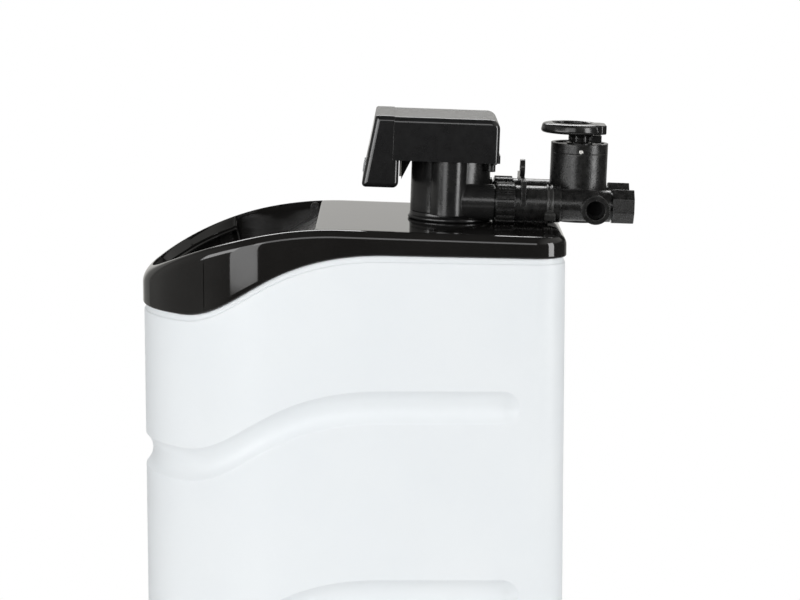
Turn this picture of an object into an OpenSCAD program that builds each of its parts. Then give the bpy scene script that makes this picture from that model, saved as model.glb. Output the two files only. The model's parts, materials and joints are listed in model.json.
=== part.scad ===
// Cabinet water softener, in millimetres.
// A white brine cabinet holds an upright resin tank, and a black cover with a sunken salt lid closes it.
// The control valve stands on the tank's neck, and the bypass valve hangs on the control valve's rear ports.
// X runs across the cabinet, -Y is the front with the salt lid, +Y is the back with the pipes, Z is up.
// The origin is the middle of the cabinet's base.

/* [Cabinet] */
// Width of the cabinet and cover, side to side
cabinet_w = 320; // [310:5:380]
// Depth from the round nose to the flat back
cabinet_d = 520; // [500:5:600]
// Radius of the two rear corners
corner_r = 40; // [30:1:50]
// How far the cabinet stands back from the cover's skirt
cabinet_inset = 1.5; // [0.5:0.5:2.5]
// Wall of the cabinet
cabinet_wall = 4; // [3:0.5:6]
// Floor of the cabinet
floor_t = 5; // [4:0.5:8]
// Height of the lip that goes up inside the cover
lip_h = 12; // [6:1:14]

/* [Deck and rim] */
// Height of the deck above the base at the tank's axis, with a tank of the standard length
deck_z = 940; // [920:5:1000]
// Lean of the deck, the tank and the valve towards the back, in degrees
lean = 2; // [0:0.5:3]
// Height of the cover's skirt where the rim's straight stretch starts
skirt_h = 28.6; // [26:0.2:34]
// Drop of the rim's low stretch below the cover's top at the tip of the nose
rim_drop = 38.4; // [22:0.1:42]
// Length of the rim's straight stretch, from the back
rim_flat = 223; // [210:1:235]
// Length of the rim's low stretch, from the tip of the nose
rim_low = 55; // [45:1:65]
// Slope of the rim's straight stretch down to the back, in degrees
rim_slope = 1.2; // [0:0.1:1.6]
// Reach of the wave's front handle
rim_front_handle = 70; // [50:1:90]
// Reach of the wave's rear handle
rim_rear_handle = 145; // [120:1:155]

/* [Grooves] */
// Width of a groove
groove_w = 40; // [30:1:50]
// Depth of a groove
groove_depth = 8.6; // [6:0.2:10]
// Drop from the rim to the middle of the first groove
groove_first = 184; // [160:1:200]
// Pitch of the grooves
groove_pitch = 232; // [200:1:240]
// Number of grooves
groove_count = 3; // [1:1:3]
// Length of plain wall between the round end of a groove and the back
groove_back = 57; // [45:1:90]

/* [Cover] */
// Wall of the cover
cover_t = 3; // [2.5:0.5:3.5]
// Length of the flat deck, from the back to where the front curves down
deck_len = 270; // [262:1:278]
// Radius of the curve from the deck down to the nose
arc_r = 436; // [420:2:470]
// Width of the rim beside the salt opening
rim_w = 10; // [10:0.5:13]
// Width of the rim at the nose
nose_rim = 12.5; // [12:0.5:28]
// Distance of the salt opening from the back
opening_back = 302; // [298:1:308]
// Depth of the lip round the nose
nose_lip = 14; // [10:1:18]
// Distance from the tip of the nose to the end of the opening's deep side walls
deep_wall_end = 110; // [100:1:125]
// Width of the ledge under the salt lid
ledge_w = 7; // [5:0.5:9]
// Thickness of the ledge under the salt lid
ledge_t = 3; // [2:0.5:4]

/* [Salt lid] */
// Thickness of the lid
lid_t = 5; // [4:0.5:6]
// Depth of the lid's floor below the rim
lid_drop = 40; // [34:1:44]
// Gap between the lid and the sides of the opening
lid_gap = 1.5; // [1:0.1:2]
// Finger gap in front of the lid
finger_gap = 30.5; // [16:0.5:34]
// Slope of the ramp at the lid's rear, in degrees
ramp_angle = 31; // [27:1:36]
// Depth of the ramp's upper end below the rim
ramp_top = 16; // [14:0.5:20]
// Distance of the hinge axis in front of the opening's rear edge
hinge_ahead = 8; // [7.5:0.5:11]
// Depth of the hinge axis below the rim
hinge_depth = 6.5; // [6:0.5:8]
// Diameter of a hinge pin
hinge_pin_d = 5; // [4:0.5:6]
// Radius of a hinge lug round its pin
lug_r = 5.5; // [5:0.25:5.75]
// Thickness of a hinge lug
lug_t = 8; // [6:0.5:11]

/* [Resin tank] */
// Distance of the tank's axis from the back, at the deck
tank_back = 139; // [136:1:142]
// Diameter of the tank
tank_d = 257; // [240:1:262]
// Length of the tank from its bottom to the top of its neck
tank_len = 903; // [860:1:905]
// Wall of the tank
tank_wall = 3.5; // [3:0.5:5]
// Height of the domed bottom
dome_h = 70; // [55:1:80]
// Height of the domed shoulder
shoulder_h = 82; // [70:1:95]
// Diameter of the neck
neck_d = 80; // [76:1:84]
// Length of the neck
neck_len = 28; // [24:1:34]
// Bore of the neck's thread
thread_d = 63.6; // [63:0.1:64]
// Depth of the neck's top below the deck
neck_top = 2; // [1:0.5:2.5]
// Depth of the resin bed
bed_h = 560; // [400:5:620]
// Diameter of the riser tube
riser_d = 26.7; // [25:0.1:28]
// Wall of the riser tube
riser_wall = 2; // [1.5:0.5:3]
// Diameter of the two distributor baskets
basket_d = 60; // [56:1:62]
// Wall of the distributor baskets
basket_wall = 3; // [2:0.5:3.5]
// Height of the bottom basket
basket_h = 44; // [36:1:60]
// Height of the tank's boot
boot_h = 100; // [80:1:105]
// Wall of the tank's boot at its thinnest
boot_wall = 4; // [3:0.5:6]

/* [Brine well] */
// Diameter of the well tube
well_d = 110; // [100:1:114]
// Wall of the well tube
well_wall = 3; // [2:0.5:4]
// How far the well's axis lies from the tank's axis towards the nose
well_nose = 211; // [206:1:216]
// Height of the well tube's top, with a tank of the standard length
well_top = 820; // [790:5:830]
// Height of the salt grid
grid_z = 120; // [112:1:150]
// Thickness of the salt grid
grid_t = 4; // [3:0.5:6]
// Diameter of the holes in the salt grid
grid_hole_d = 14; // [8:1:18]
// Pitch of the holes in the salt grid
grid_pitch = 28; // [24:1:34]
// Diameter of the pickup tube
pickup_d = 16; // [14:0.5:18]
// Height of the brine valve's outlet, with a tank of the standard length
brine_valve_z = 745; // [720:5:755]
// Diameter of the float
float_d = 72; // [66:1:76]
// Height of the float
float_h = 45; // [35:1:60]
// Height of the float's bottom at rest
float_z = 300; // [260:5:440]
// Diameter of the float rod
float_rod_d = 5; // [4:0.5:6]
// Distance of the float rod from the pickup tube's axis
float_rod_x = 25; // [23:1:27]
// Diameter of the brine tube
tube_d = 9.5; // [8:0.5:10]
// Bend radius of the brine tube
tube_bend = 20; // [18:1:22]

/* [Overflow] */
// Height of the overflow
overflow_z = 400; // [360:5:660]
// Distance of the overflow from the cabinet's far side
overflow_x = 60; // [50:1:100]
// Diameter of the overflow's spigot
overflow_d = 20; // [18:1:24]

/* [Valve body] */
// Diameter of the main cylinder
valve_d = 98; // [92:1:99]
// Height of the valve body above the deck
valve_h = 77; // [75:0.5:80]
// Diameter of the ring on the deck
ring_d = 103; // [102:1:108]
// Height of the ring on the deck
ring_h = 10; // [8:0.5:11]
// Diameter of the valve's foot inside the ring
foot_d = 85.4; // [85:0.1:88]
// Length of the threaded spigot below the foot
spigot_len = 36; // [32:1:40]
// Diameter of the boss on the near side
boss_d = 43.5; // [42:0.5:48]
// Distance of that boss's axis from the middle plane
boss_x = 47; // [44:0.5:48]
// How far that boss sits ahead of the valve's axis
boss_fore = 3; // [0:0.5:5]
// Distance of a port's axis from the middle plane
port_x = 40; // [39:0.5:42]
// Outer diameter of the ports
port_d = 44; // [42:0.5:45]
// Bore of the ports
port_bore = 24; // [20:0.5:25]
// Distance from the valve's axis to the shoulder of a port
port_len = 53; // [52:0.5:55]
// Diameter of a port's threaded nose
nose_d = 38; // [36:0.5:40]
// Length of a port's threaded nose
nose_len = 16; // [14:0.5:18]
// Bore for the seal stack
seal_bore = 38; // [36:0.5:40]
// Diameter of the piston
piston_d = 24; // [22:0.5:25]
// Length of the piston
piston_len = 30; // [26:0.5:32]
// Diameter of the piston rod
rod_d = 8; // [6:0.5:9]
// Height of the bosses on the far side
far_z = 54; // [52:0.5:56]
// Reach of the bosses on the far side from the valve's axis
far_x = 63; // [62.5:0.5:66]
// Pitch of the bosses on the far side
far_pitch = 28; // [27:0.5:29]

/* [Valve head] */
// Width of the head
head_w = 144; // [136:1:160]
// Height of the head above the valve body
head_h = 54; // [52:0.5:60]
// Distance from the valve's axis back to the head's rear face
head_rear = 56.5; // [56:0.5:64]
// Distance from the valve's axis forward to the seam of the front panel
head_seam = 72; // [70:0.5:74]
// Distance from the valve's axis forward to the front panel's lower edge
head_low_front = 110; // [105:0.5:112]
// Distance from the valve's axis forward to the front panel's upper edge
head_top_front = 95; // [88:0.5:98]
// Distance from the valve's axis forward to the overhang's rear face
overhang_rear = 65; // [64:0.5:67]
// Depth of the overhang below the head
overhang_h = 34; // [30:0.5:38]
// Wall of the head's covers
head_t = 2.5; // [2:0.25:3]
// Wall of the front panel behind the window and the keys
panel_t = 4; // [3.5:0.25:5]
// Radius of the head's upper rear edge
head_r = 12; // [8:0.5:16]
// Thickness of the backplate
plate_t = 3; // [2.5:0.5:4]
// Width of the display window
window_w = 80; // [70:1:90]
// Height of the display window
window_h = 34; // [28:1:36]
// Thickness of the display window
window_t = 2; // [1.5:0.25:2.5]
// Width of a key
key_w = 16; // [12:0.5:18]
// Height of a key
key_h = 9; // [7:0.5:11]
// Pitch of the keys
key_pitch = 24; // [22:0.5:26]
// Travel of a key
key_travel = 1.5; // [1:0.1:1.7]
// Thickness of the circuit board
board_t = 1.6; // [1:0.1:2]

/* [Drive] */
// Module of the drive teeth
gear_module = 1; // [0.9:0.05:1.1]
// Teeth of the drive gear
gear_teeth = 60; // [56:1:64]
// Teeth of the motor pinion
pinion_teeth = 16; // [15:1:18]
// Face width of the drive teeth
gear_h = 7; // [5:0.5:8]
// Play between the drive teeth
backlash = 0.4; // [0.3:0.05:0.5]
// Diameter of the motor
motor_d = 40; // [36:1:42]
// Height of the motor
motor_h = 10.5; // [9:0.5:11]
// Direction of the motor from the drive gear, in degrees
motor_angle = 130; // [120:1:135]
// Diameter of the motor's shaft
motor_shaft_d = 4; // [3:0.5:5]

/* [Rear connections] */
// Outer diameter of a union nut over its ribs
union_d = 49; // [48:1:58]
// Gap between a union nut and the deck
union_gap = 2; // [0.3:0.1:4]
// Length of a union nut
union_len = 24; // [22:0.5:26]
// Ribs on a union nut
union_ribs = 16; // [12:1:20]
// Distance from the valve's axis to the port clip
clip_y = 88.5; // [86:0.5:92]
// Thickness of the port clip
clip_t = 6; // [5:0.5:7]
// Outer diameter of the port clip's loop
clip_loop_d = 22; // [20:1:26]
// Distance from the valve's axis to the cable tie
tie_y = 121.5; // [115:0.5:124]
// Width of the cable tie
tie_w = 8; // [6:0.5:9]

/* [Bypass] */
// Distance from the valve's axis to the bypass tower's axis
tower_y = 158; // [157:0.5:164]
// Diameter of the bypass tower
tower_d = 70.5; // [67:0.5:72]
// Height of the seam between the tower and its cap, above the deck
tower_h = 88; // [86:0.5:92]
// Height of the tower's cap
tower_cap_h = 12; // [10:0.5:14]
// Diameter of the bypass rotor
rotor_d = 46; // [44:0.5:46]
// Diameter of the rotor's stem
stem_d = 20; // [18:0.5:22]
// Diameter of the stem's drive end in the knob
stem_end_d = 12; // [10:0.5:14]
// Diameter of the knob's ring
knob_d = 76; // [70:1:78]
// Height of the knob's ring
knob_h = 12.6; // [11:0.2:14]
// Gap between the tower's cap and the knob's ring
knob_gap = 12; // [10:0.5:14]
// How far the knob's ring is set forward of the tower's axis
knob_forward = 10.5; // [6:0.5:12]
// Width of the knob's rim
knob_rim = 7; // [5:0.5:9]
// Distance from the valve's axis to the side ports
side_y = 176.5; // [175:0.5:180]
// How far the side ports sit below the axis of the pipes
side_drop = 2.5; // [0:0.5:4]
// Outer diameter of a side port
side_d = 35; // [33:0.5:37]
// Bore of a side port
side_bore = 23.5; // [22:0.1:24]
// Reach of a side port from the middle plane
side_x = 70; // [68:0.5:74]
// Distance from the valve's axis to the front of the end nuts
end_y = 198; // [197:0.5:202]
// Length of an end nut
end_len = 26.5; // [26:0.5:32]
// Size of an end nut across its flats
end_flats = 41; // [40:0.5:44]
// Bore of an end nut
end_bore = 26.4; // [25:0.1:28]
// Diameter of the threaded spigot inside an end nut
end_spigot_d = 33; // [31:0.5:34]

/* [Fits] */
// Gap between fixed pieces that slip together
fit = 0.3; // [0.2:0.05:0.4]
// Radial clearance of pins, shafts and plugs that run in a bore
running = 0.05; // [0.03:0.01:0.08]

/* [Hidden] */
$fn = 64;
shell_white = "whitesmoke";
gloss_black = "#17181a";
satin_black = "#2a2b2d";
nylon_black = "#343434";
amber_beads = "#b98b4a";
pale_plastic = "#d8d6cc";
steel = "#b9bcc0";
tank_blue = "#3d5f78";
natural_plastic = "#e6e4da";
board_green = "#2f5d3a";
smoke_window = "#20262b";
key_grey = "#8c8f91";

// How far a cut runs past the face that it opens
past = 1;

// Places along the depth of the cabinet
back_y = cabinet_d / 2;
nose_y = -cabinet_d / 2;
tank_y = back_y - tank_back;
opening_y = back_y - opening_back;
arc_y = back_y - deck_len;
inner_inset = cabinet_inset + cabinet_wall;

// A longer tank than the standard one lifts the deck and all that hangs from it
tank_standard = 903;
lift = (tank_len - tank_standard) * cos(lean);
deck_top = deck_z + lift;
prism_room = 60;
prism_h = deck_top + prism_room;
far = cabinet_d;

// The deck's plane, and the cylinder that the front of the cover curves along
function deck_at(y) = deck_top + (tank_y - y) * tan(lean);
arc_centre_y = arc_y - arc_r * sin(lean);
arc_centre_z = deck_at(arc_y) - arc_r * cos(lean);
function arc_at(y, r) = arc_centre_z + sqrt(r * r - (y - arc_centre_y) * (y - arc_centre_y));
function top_at(y) = y > arc_y ? deck_at(y) : arc_at(y, arc_r);
arc_steps = 14;
front_edge = nose_y - 5;
function arc_ys(from, to) = [for (i = [0 : arc_steps]) from + (to - from) * i / arc_steps];

// The wave of the rim, front to back: a low stretch, a smooth rise and a straight stretch
wave_front = nose_y + rim_low;
wave_rear = back_y - rim_flat;
rim_z = deck_at(wave_rear) - skirt_h;
wave_drop = rim_z - top_at(nose_y) + rim_drop;
wave_steps = 20;
function cubic(t, a, b, c, d) =
    pow(1 - t, 3) * a + 3 * t * pow(1 - t, 2) * b + 3 * t * t * (1 - t) * c + pow(t, 3) * d;
function wave_point(t) = [
    cubic(t, wave_front, wave_front + rim_front_handle, wave_rear - rim_rear_handle, wave_rear),
    cubic(t, -wave_drop, -wave_drop, 0, 0)
];
wave = [for (i = [0 : wave_steps]) wave_point(i / wave_steps)];
rim_line = concat(
    [[nose_y - 10, -wave_drop]], wave, [[back_y + 10, -(rim_flat + 10) * tan(rim_slope)]]
);
function raised(line, z) = [for (p = line) [p.x, p.y + z]];
function reversed(list) = [for (i = [len(list) - 1 : -1 : 0]) list[i]];

// Salt opening and lid
opening_half = cabinet_w / 2 - rim_w;
opening_nose_y = nose_y + nose_rim + opening_half;
deep_y = nose_y + deep_wall_end;
lid_half = opening_half - lid_gap;
lid_nose_y = nose_y + nose_rim + finger_gap + lid_half;
lid_rear_y = opening_y - 2 * lid_gap;
hinge_y = opening_y - hinge_ahead;
hinge_z = top_at(hinge_y) - hinge_depth;
ramp_z = top_at(lid_rear_y) - ramp_top;
seat_drop = lid_drop + lid_t + fit;
hinge_head_x = opening_half + cover_t;
hinge_head_t = 1.5;

// Tank, in the leaning frame whose origin is on the deck at the tank's axis
neck_z = -neck_top;
tank_bottom = neck_z - tank_len;
dome_steps = 12;
bed_top = tank_bottom + tank_wall + bed_h;
basket_lift = 8;
basket_bottom = tank_bottom + tank_wall + basket_lift;
basket_top = basket_bottom + basket_h;
riser_top = -spigot_len / 3;
boot_y = tank_y + (tank_bottom + boot_h / 2) * sin(lean);

// Brine well, with its outlet turned to meet the plane of the brine tube
well_gap = 6;
well_y = tank_y - well_nose;
well_reach = cabinet_w / 2 - inner_inset - groove_depth - well_gap - well_d / 2;
well_ahead = max(0, nose_y + cabinet_w / 2 - well_y);
well_x = -sqrt(well_reach * well_reach - well_ahead * well_ahead);
well_rim = well_top + lift;
outlet_z = brine_valve_z + lift;
stub_wall = 1.5;
stub_d = tube_d + 2 * stub_wall;
stub_gap = 1.5;
stub_rise = 20;
socket_out = 21.9;
brine_socket_x = -far_x - socket_out;
outlet_reach = well_d / 2 + stub_d / 2 + stub_gap;
outlet_turn = asin((well_x - brine_socket_x) / outlet_reach);
well_outlet_y = well_y + outlet_reach * cos(outlet_turn);
tube_foot_z = outlet_z + stub_rise;
overflow_place = overflow_x - cabinet_w / 2;

// Valve, in the leaning frame
port_z = union_d / 2 + union_gap;
bore_floor = 6;
plug_flange_d = seal_bore + 12;
plug_flange_t = 4;
plug_len = 13.5;
seal_top = valve_h - plug_len - running;
piston_z = bore_floor + 2;
plate_top = valve_h + plate_t;
far_bore_len = 20;
far_bore_x = far_x - far_bore_len;

// Head, in the leaning frame
head_top = valve_h + head_h;
overhang_z = valve_h - overhang_h;
face_tilt = atan((head_low_front - head_top_front) / (head_h + overhang_h));
function face_y(z) = -head_low_front + (z - overhang_z) * tan(face_tilt);
face_mid_z = (head_top + overhang_z) / 2;
gear_gap = 1.5;
gear_z = plate_top + motor_h + gear_gap;
gear_hub_d = 2 * rod_d;
gear_tower_wall = 7;
gear_tower_d = gear_hub_d + 2 * gear_tower_wall;
gear_centres = gear_module * (gear_teeth + pinion_teeth) / 2;
rod_top = gear_z + gear_h + 5;
window_y = 16;
keys_y = -24;
key_flange = 1;
key_proud = 1.8;
key_stem = 1.4;
key_back = panel_t + key_flange + key_stem;
switch_h = 3;
board_depth = key_back + key_travel + switch_h;
board_edge = 5;
board_w = 4 * key_pitch + 2 * board_edge;
board_h = 66;

// Rear connections and bypass, in the leaning frame
washer_t = 2;
collar_t = 4;
nose_end = port_len + nose_len;
collar_y = nose_end + washer_t;
union_y = port_len + 2;
union_end = union_y + union_len;
grip_y = collar_y + collar_t + fit;
grip_bore = nose_d - 5;
cap_top = tower_h + tower_cap_h;
knob_z = cap_top + knob_gap;
end_seat = 12;
cross_bore = port_bore - 6;
knob_floor = 4;
tower_floor = 4;

// Shapes that repeat

module x_cyl(d, x0, x1) translate([x0, 0, 0]) rotate([0, 90, 0]) cylinder(d = d, h = x1 - x0);
module y_cyl(d, y0, y1) translate([0, y0, 0]) rotate([-90, 0, 0]) cylinder(d = d, h = y1 - y0);
module z_cyl(d, z0, z1) translate([0, 0, z0]) cylinder(d = d, h = z1 - z0);

module z_ring(d_out, d_in, z0, z1) difference() {
    z_cyl(d_out, z0, z1);
    z_cyl(d_in, z0 - 1, z1 + 1);
}

module box(x0, x1, y0, y1, z0, z1) translate([x0, y0, z0]) cube([x1 - x0, y1 - y0, z1 - z0]);

// Stands its children square to the leaning deck, with the tank's axis as their upright
module on_deck() translate([0, tank_y, deck_top]) rotate([-lean, 0, 0]) children();

// The world place of a point that is given in the leaning frame
function deck_point(p) = [
    p.x, tank_y + p.y * cos(lean) + p.z * sin(lean), deck_top - p.y * sin(lean) + p.z * cos(lean)
];

module at_ports() for (side = [-1, 1]) translate([side * port_x, 0, port_z]) children();

// Frame on the sloping face of the front panel: X across, Y up the face, Z out of it
module on_face() on_deck()
    translate([0, face_y(face_mid_z), face_mid_z]) rotate([90 - face_tilt, 0, 0]) children();

// Extrudes an outline of the Y-Z plane across the object
module across(w) rotate([90, 0, 90]) linear_extrude(height = w, center = true) children();

// Plan of the cabinet and cover: a round nose, straight sides and rounded rear corners
module u_plan(inset) {
    half = cabinet_w / 2 - inset;
    nose_centre = nose_y + cabinet_w / 2;
    rear = back_y - inset;
    r = corner_r - inset;
    translate([0, nose_centre]) circle(r = half);
    translate([-half, nose_centre]) square([2 * half, rear - r - nose_centre]);
    translate([-half + r, nose_centre]) square([2 * (half - r), rear - nose_centre]);
    for (side = [-1, 1]) translate([side * (half - r), rear - r]) circle(r = r);
}

module prism(inset) linear_extrude(height = prism_h) u_plan(inset);

// Everything of the plan below the rim
module below_rim(inset, up) intersection() {
    prism(inset);
    across(far) polygon(concat([[nose_y - 10, 0]], raised(rim_line, rim_z + up), [[back_y + 10, 0]]));
}

// One groove's band, wave-shaped, with a round end near the back
module groove_band(i, grow) {
    mid = rim_z - groove_first - i * groove_pitch;
    half = groove_w / 2 + grow;
    end_y = back_y - groove_back - groove_w / 2;
    line = concat([[nose_y - 10, -wave_drop]], wave, [[end_y, 0]]);
    across(far) translate([0, mid]) {
        polygon(concat(raised(line, -half), reversed(raised(line, half))));
        translate([end_y, 0]) circle(r = half);
    }
}

// Everything of the plan between the cover's upper surface and the rim, moved down by two amounts
module cover_block(inset, down, low) intersection() {
    prism(inset);
    across(far) polygon(concat(
        [[back_y + 10, deck_at(back_y + 10) - down]],
        [for (y = arc_ys(arc_y, front_edge)) [y, top_at(y) - down]],
        raised(rim_line, rim_z - low)
    ));
}

// A plan with a round front and a straight rear edge
module nose_plan(half, centre_y, rear_y) intersection() {
    union() {
        translate([0, centre_y]) circle(r = half);
        translate([-half, centre_y]) square([2 * half, rear_y - centre_y]);
    }
    translate([-half - 1, centre_y - half - 1]) square([2 * half + 2, rear_y - centre_y + half + 1]);
}

module opening_plan(grow) nose_plan(opening_half + grow, opening_nose_y, opening_y + grow);

module lid_plan(inset) nose_plan(lid_half - inset, lid_nose_y, lid_rear_y - inset);

// Space above a surface that lies deep beside the lid and shallow round the nose
module well_space(deep, shallow) across(far) {
    deep_ys = arc_ys(deep_y, opening_y + 2 * cover_t);
    polygon(concat(
        [for (y = deep_ys) [y, arc_at(y, arc_r - deep)]],
        [for (y = reversed(deep_ys)) [y, top_at(y) + 20]]
    ));
    nose_ys = arc_ys(front_edge, deep_y);
    polygon(concat(
        [for (y = nose_ys) [y, top_at(y) - shallow]],
        [for (y = reversed(nose_ys)) [y, top_at(y) + 20]]
    ));
}

// Cabinet and cover

module cabinet() color(shell_white) difference() {
    union() {
        below_rim(cabinet_inset, 0);
        below_rim(cover_t + fit, lip_h);
    }
    difference() {
        translate([0, 0, floor_t]) prism(inner_inset);
        for (i = [0 : groove_count - 1]) difference() {
            groove_band(i, cabinet_wall);
            prism(inner_inset + groove_depth);
        }
    }
    for (i = [0 : groove_count - 1]) difference() {
        groove_band(i, 0);
        prism(cabinet_inset + groove_depth);
    }
    translate([overflow_place, 0, overflow_z])
        y_cyl(overflow_d + 2 * fit, back_y - 2 * inner_inset, back_y + 1);
}

module top_cover() color(gloss_black) difference() {
    cover_block(0, 0, 0);
    difference() {
        cover_block(cover_t, cover_t, 30);
        intersection() {
            linear_extrude(height = prism_h) opening_plan(cover_t);
            well_space(seat_drop + ledge_t, nose_lip);
        }
    }
    intersection() {
        linear_extrude(height = prism_h) opening_plan(0);
        well_space(seat_drop, nose_lip + 60);
    }
    linear_extrude(height = prism_h) lid_plan(ledge_w);
    translate([0, hinge_y, hinge_z])
        x_cyl(hinge_pin_d + 2 * running, cover_t - cabinet_w / 2, cabinet_w / 2 - cover_t);
    on_deck() z_cyl(foot_d + 2 * fit, -2 * cover_t, past);
    on_deck() translate([brine_socket_x, -far_pitch, 0]) z_cyl(tube_d + 6 * fit, -2 * cover_t, past);
}

module hinge_pins() color(steel) translate([0, hinge_y, hinge_z]) for (side = [0, 1]) mirror([side, 0, 0]) {
    x_cyl(hinge_pin_d, lid_half - lug_t, hinge_head_x);
    x_cyl(hinge_pin_d + hinge_head_t, hinge_head_x, hinge_head_x + hinge_head_t);
}

// Where the lid's ramp meets the curved floor, for a floor of radius r and a ramp that starts at height z
function ramp_reach(r, z) =
    let (p = [lid_rear_y - arc_centre_y, z - arc_centre_z], d = [-cos(ramp_angle), -sin(ramp_angle)], b = p * d)
    -b - sqrt(b * b - (p * p - r * r));

function lid_line(r, z) =
    let (reach = ramp_reach(r, z), foot = lid_rear_y - reach * cos(ramp_angle))
    concat([[lid_rear_y, z]], [for (y = arc_ys(foot, front_edge)) [y, arc_at(y, r)]]);

module salt_lid() color(gloss_black) difference() {
    union() {
        intersection() {
            linear_extrude(height = prism_h) lid_plan(0);
            across(far) polygon(concat(
                lid_line(arc_r - lid_drop, ramp_z),
                reversed(lid_line(arc_r - lid_drop - lid_t, ramp_z - lid_t / cos(ramp_angle)))
            ));
        }
        for (side = [-1, 1]) translate([side * (lid_half - lug_t / 2), 0, 0]) across(lug_t) {
            translate([hinge_y, hinge_z]) circle(r = lug_r);
            translate([hinge_y - lug_r, ramp_z - lid_t]) square([2 * lug_r, hinge_z - ramp_z + lid_t]);
        }
    }
    translate([0, hinge_y, hinge_z]) x_cyl(hinge_pin_d + 2 * running, -cabinet_w / 2, cabinet_w / 2);
}

// Brine side

grid_top = grid_z + grid_t;
grid_edge = 40;
grid_leg_d = 22;
grid_leg_wall = 3;
grid_tuck = 7.5;
grid_rear = tank_y - tank_d / 2 + grid_tuck;
grid_tank_gap = 4;
grid_well_gap = 1;
grid_leg_side = 35;
grid_leg_back = 25;
grid_legs = [
    [1.5 * grid_pitch, nose_y + grid_edge + grid_pitch / 2],
    [cabinet_w / 2 - grid_leg_side, grid_rear - grid_leg_back]
];

module salt_grid() color(natural_plastic) {
    difference() {
        intersection() {
            translate([0, 0, grid_z]) linear_extrude(height = grid_t)
                u_plan(inner_inset + groove_depth + 2 * fit);
            box(-cabinet_w, cabinet_w, nose_y, grid_rear, 0, grid_top + past);
        }
        on_deck() z_cyl(tank_d + 2 * grid_tank_gap, tank_bottom, 0);
        translate([well_x, well_y, 0]) z_cyl(well_d + 2 * grid_well_gap, 0, grid_top + past);
        for (x = [-4 : 4], y = [0 : 5])
            let (p = [x * grid_pitch, nose_y + grid_edge + y * grid_pitch])
            if (norm(p - [0, nose_y + cabinet_w / 2]) < cabinet_w / 2 - grid_edge + 10
                && norm(p - [well_x, well_y]) > well_d / 2 + grid_hole_d)
                translate(p) z_cyl(grid_hole_d, grid_z - past, grid_top + past);
    }
    for (side = [-1, 1], leg = grid_legs) translate([side * leg.x, leg.y, 0])
        z_ring(grid_leg_d, grid_leg_d - 2 * grid_leg_wall, floor_t, grid_z + grid_t / 2);
}

inlet_w = 4;
inlet_z = 15;
inlet_h = 50;
well_inlet = [floor_t + inlet_z, floor_t + inlet_z + inlet_h];

module brine_well() color(natural_plastic) translate([well_x, well_y, 0]) difference() {
    z_ring(well_d, well_d - 2 * well_wall, floor_t, well_rim);
    for (a = [15 : 60 : 135]) rotate([0, 0, a])
        box(-well_d, well_d, -inlet_w / 2, inlet_w / 2, well_inlet[0], well_inlet[1]);
    rotate([0, 0, outlet_turn]) translate([0, 0, outlet_z]) y_cyl(pickup_d + 2 * fit, 0, well_d);
}

cap_bore = well_d + 2 * fit;
cap_wall = 2;
cap_d = cap_bore + 2 * cap_wall;
cap_skirt_h = 12;
cap_under = well_rim + fit;
cap_t = 3;
cap_grip_d = 24;
cap_grip_h = 10;

module brine_well_cap() color(natural_plastic) translate([well_x, well_y, 0]) {
    z_ring(cap_d, cap_bore, well_rim - cap_skirt_h, cap_under);
    z_cyl(cap_d, cap_under, cap_under + cap_t);
    z_cyl(cap_grip_d, cap_under + cap_t, cap_under + cap_t + cap_grip_h);
}

brine_bore = 6;
brine_core_d = 30;
brine_core_drop = 25;
brine_core_foot = outlet_z - brine_core_drop;
pickup_drop = 10;
pickup_seat = outlet_z - pickup_drop;
guide_drop = 20;
guide_z = outlet_z - guide_drop;
guide_t = 6;

module brine_valve() color(natural_plastic) translate([well_x, well_y, 0]) difference() {
    union() {
        z_cyl(brine_core_d, brine_core_foot, tube_foot_z);
        rotate([0, 0, outlet_turn]) {
            translate([0, 0, outlet_z]) y_cyl(pickup_d, brine_core_d / 3, outlet_reach + stub_d / 2);
            translate([0, outlet_reach, 0]) z_cyl(stub_d, outlet_z, tube_foot_z);
        }
        box(0, float_rod_x + guide_t, -guide_t, guide_t, guide_z, guide_z + guide_t);
    }
    z_cyl(pickup_d + 2 * running, brine_core_foot - past, pickup_seat);
    z_cyl(brine_bore, pickup_seat - past, outlet_z);
    rotate([0, 0, outlet_turn]) {
        translate([0, 0, outlet_z]) y_cyl(brine_bore, -brine_bore / 2, outlet_reach);
        translate([0, outlet_reach, 0]) z_cyl(brine_bore, outlet_z, tube_foot_z + past);
    }
    translate([float_rod_x, 0, 0])
        z_cyl(float_rod_d + 2 * running, guide_z - past, guide_z + guide_t + past);
}

pickup_wall = 2;
pickup_lift = 60;
pickup_foot = floor_t + pickup_lift;
float_stop_d = pickup_d + 8;
float_stop_t = 6;

module brine_pickup() color(natural_plastic) translate([well_x, well_y, 0]) difference() {
    union() {
        z_cyl(pickup_d, pickup_foot, pickup_seat);
        z_cyl(float_stop_d, float_z - float_stop_t, float_z - fit);
    }
    z_cyl(pickup_d - 2 * pickup_wall, pickup_foot - past, pickup_seat + past);
}

check_d = 36;
check_wall = 3;
check_h = 75;
check_top = floor_t + check_h;
check_inlet_z = 8;
check_inlet_h = 36;
check_inlet = [floor_t + check_inlet_z, floor_t + check_inlet_z + check_inlet_h];

module air_check() color(pale_plastic) translate([well_x, well_y, 0]) difference() {
    z_cyl(check_d, floor_t, check_top);
    z_cyl(check_d - 2 * check_wall, floor_t + check_wall, pickup_foot);
    z_cyl(pickup_d + 2 * running, pickup_foot, check_top + past);
    for (a = [0 : 45 : 135]) rotate([0, 0, a])
        box(-check_d, check_d, -inlet_w / 2, inlet_w / 2, check_inlet[0], check_inlet[1]);
}

module float() color(pale_plastic) translate([well_x, well_y, 0]) difference() {
    z_cyl(float_d, float_z, float_z + float_h);
    z_cyl(pickup_d + 4 * running, float_z - past, float_z + float_h + past);
    translate([float_rod_x, 0, 0])
        z_cyl(float_rod_d + 2 * running, float_z - past, float_z + float_h + past);
}

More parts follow.
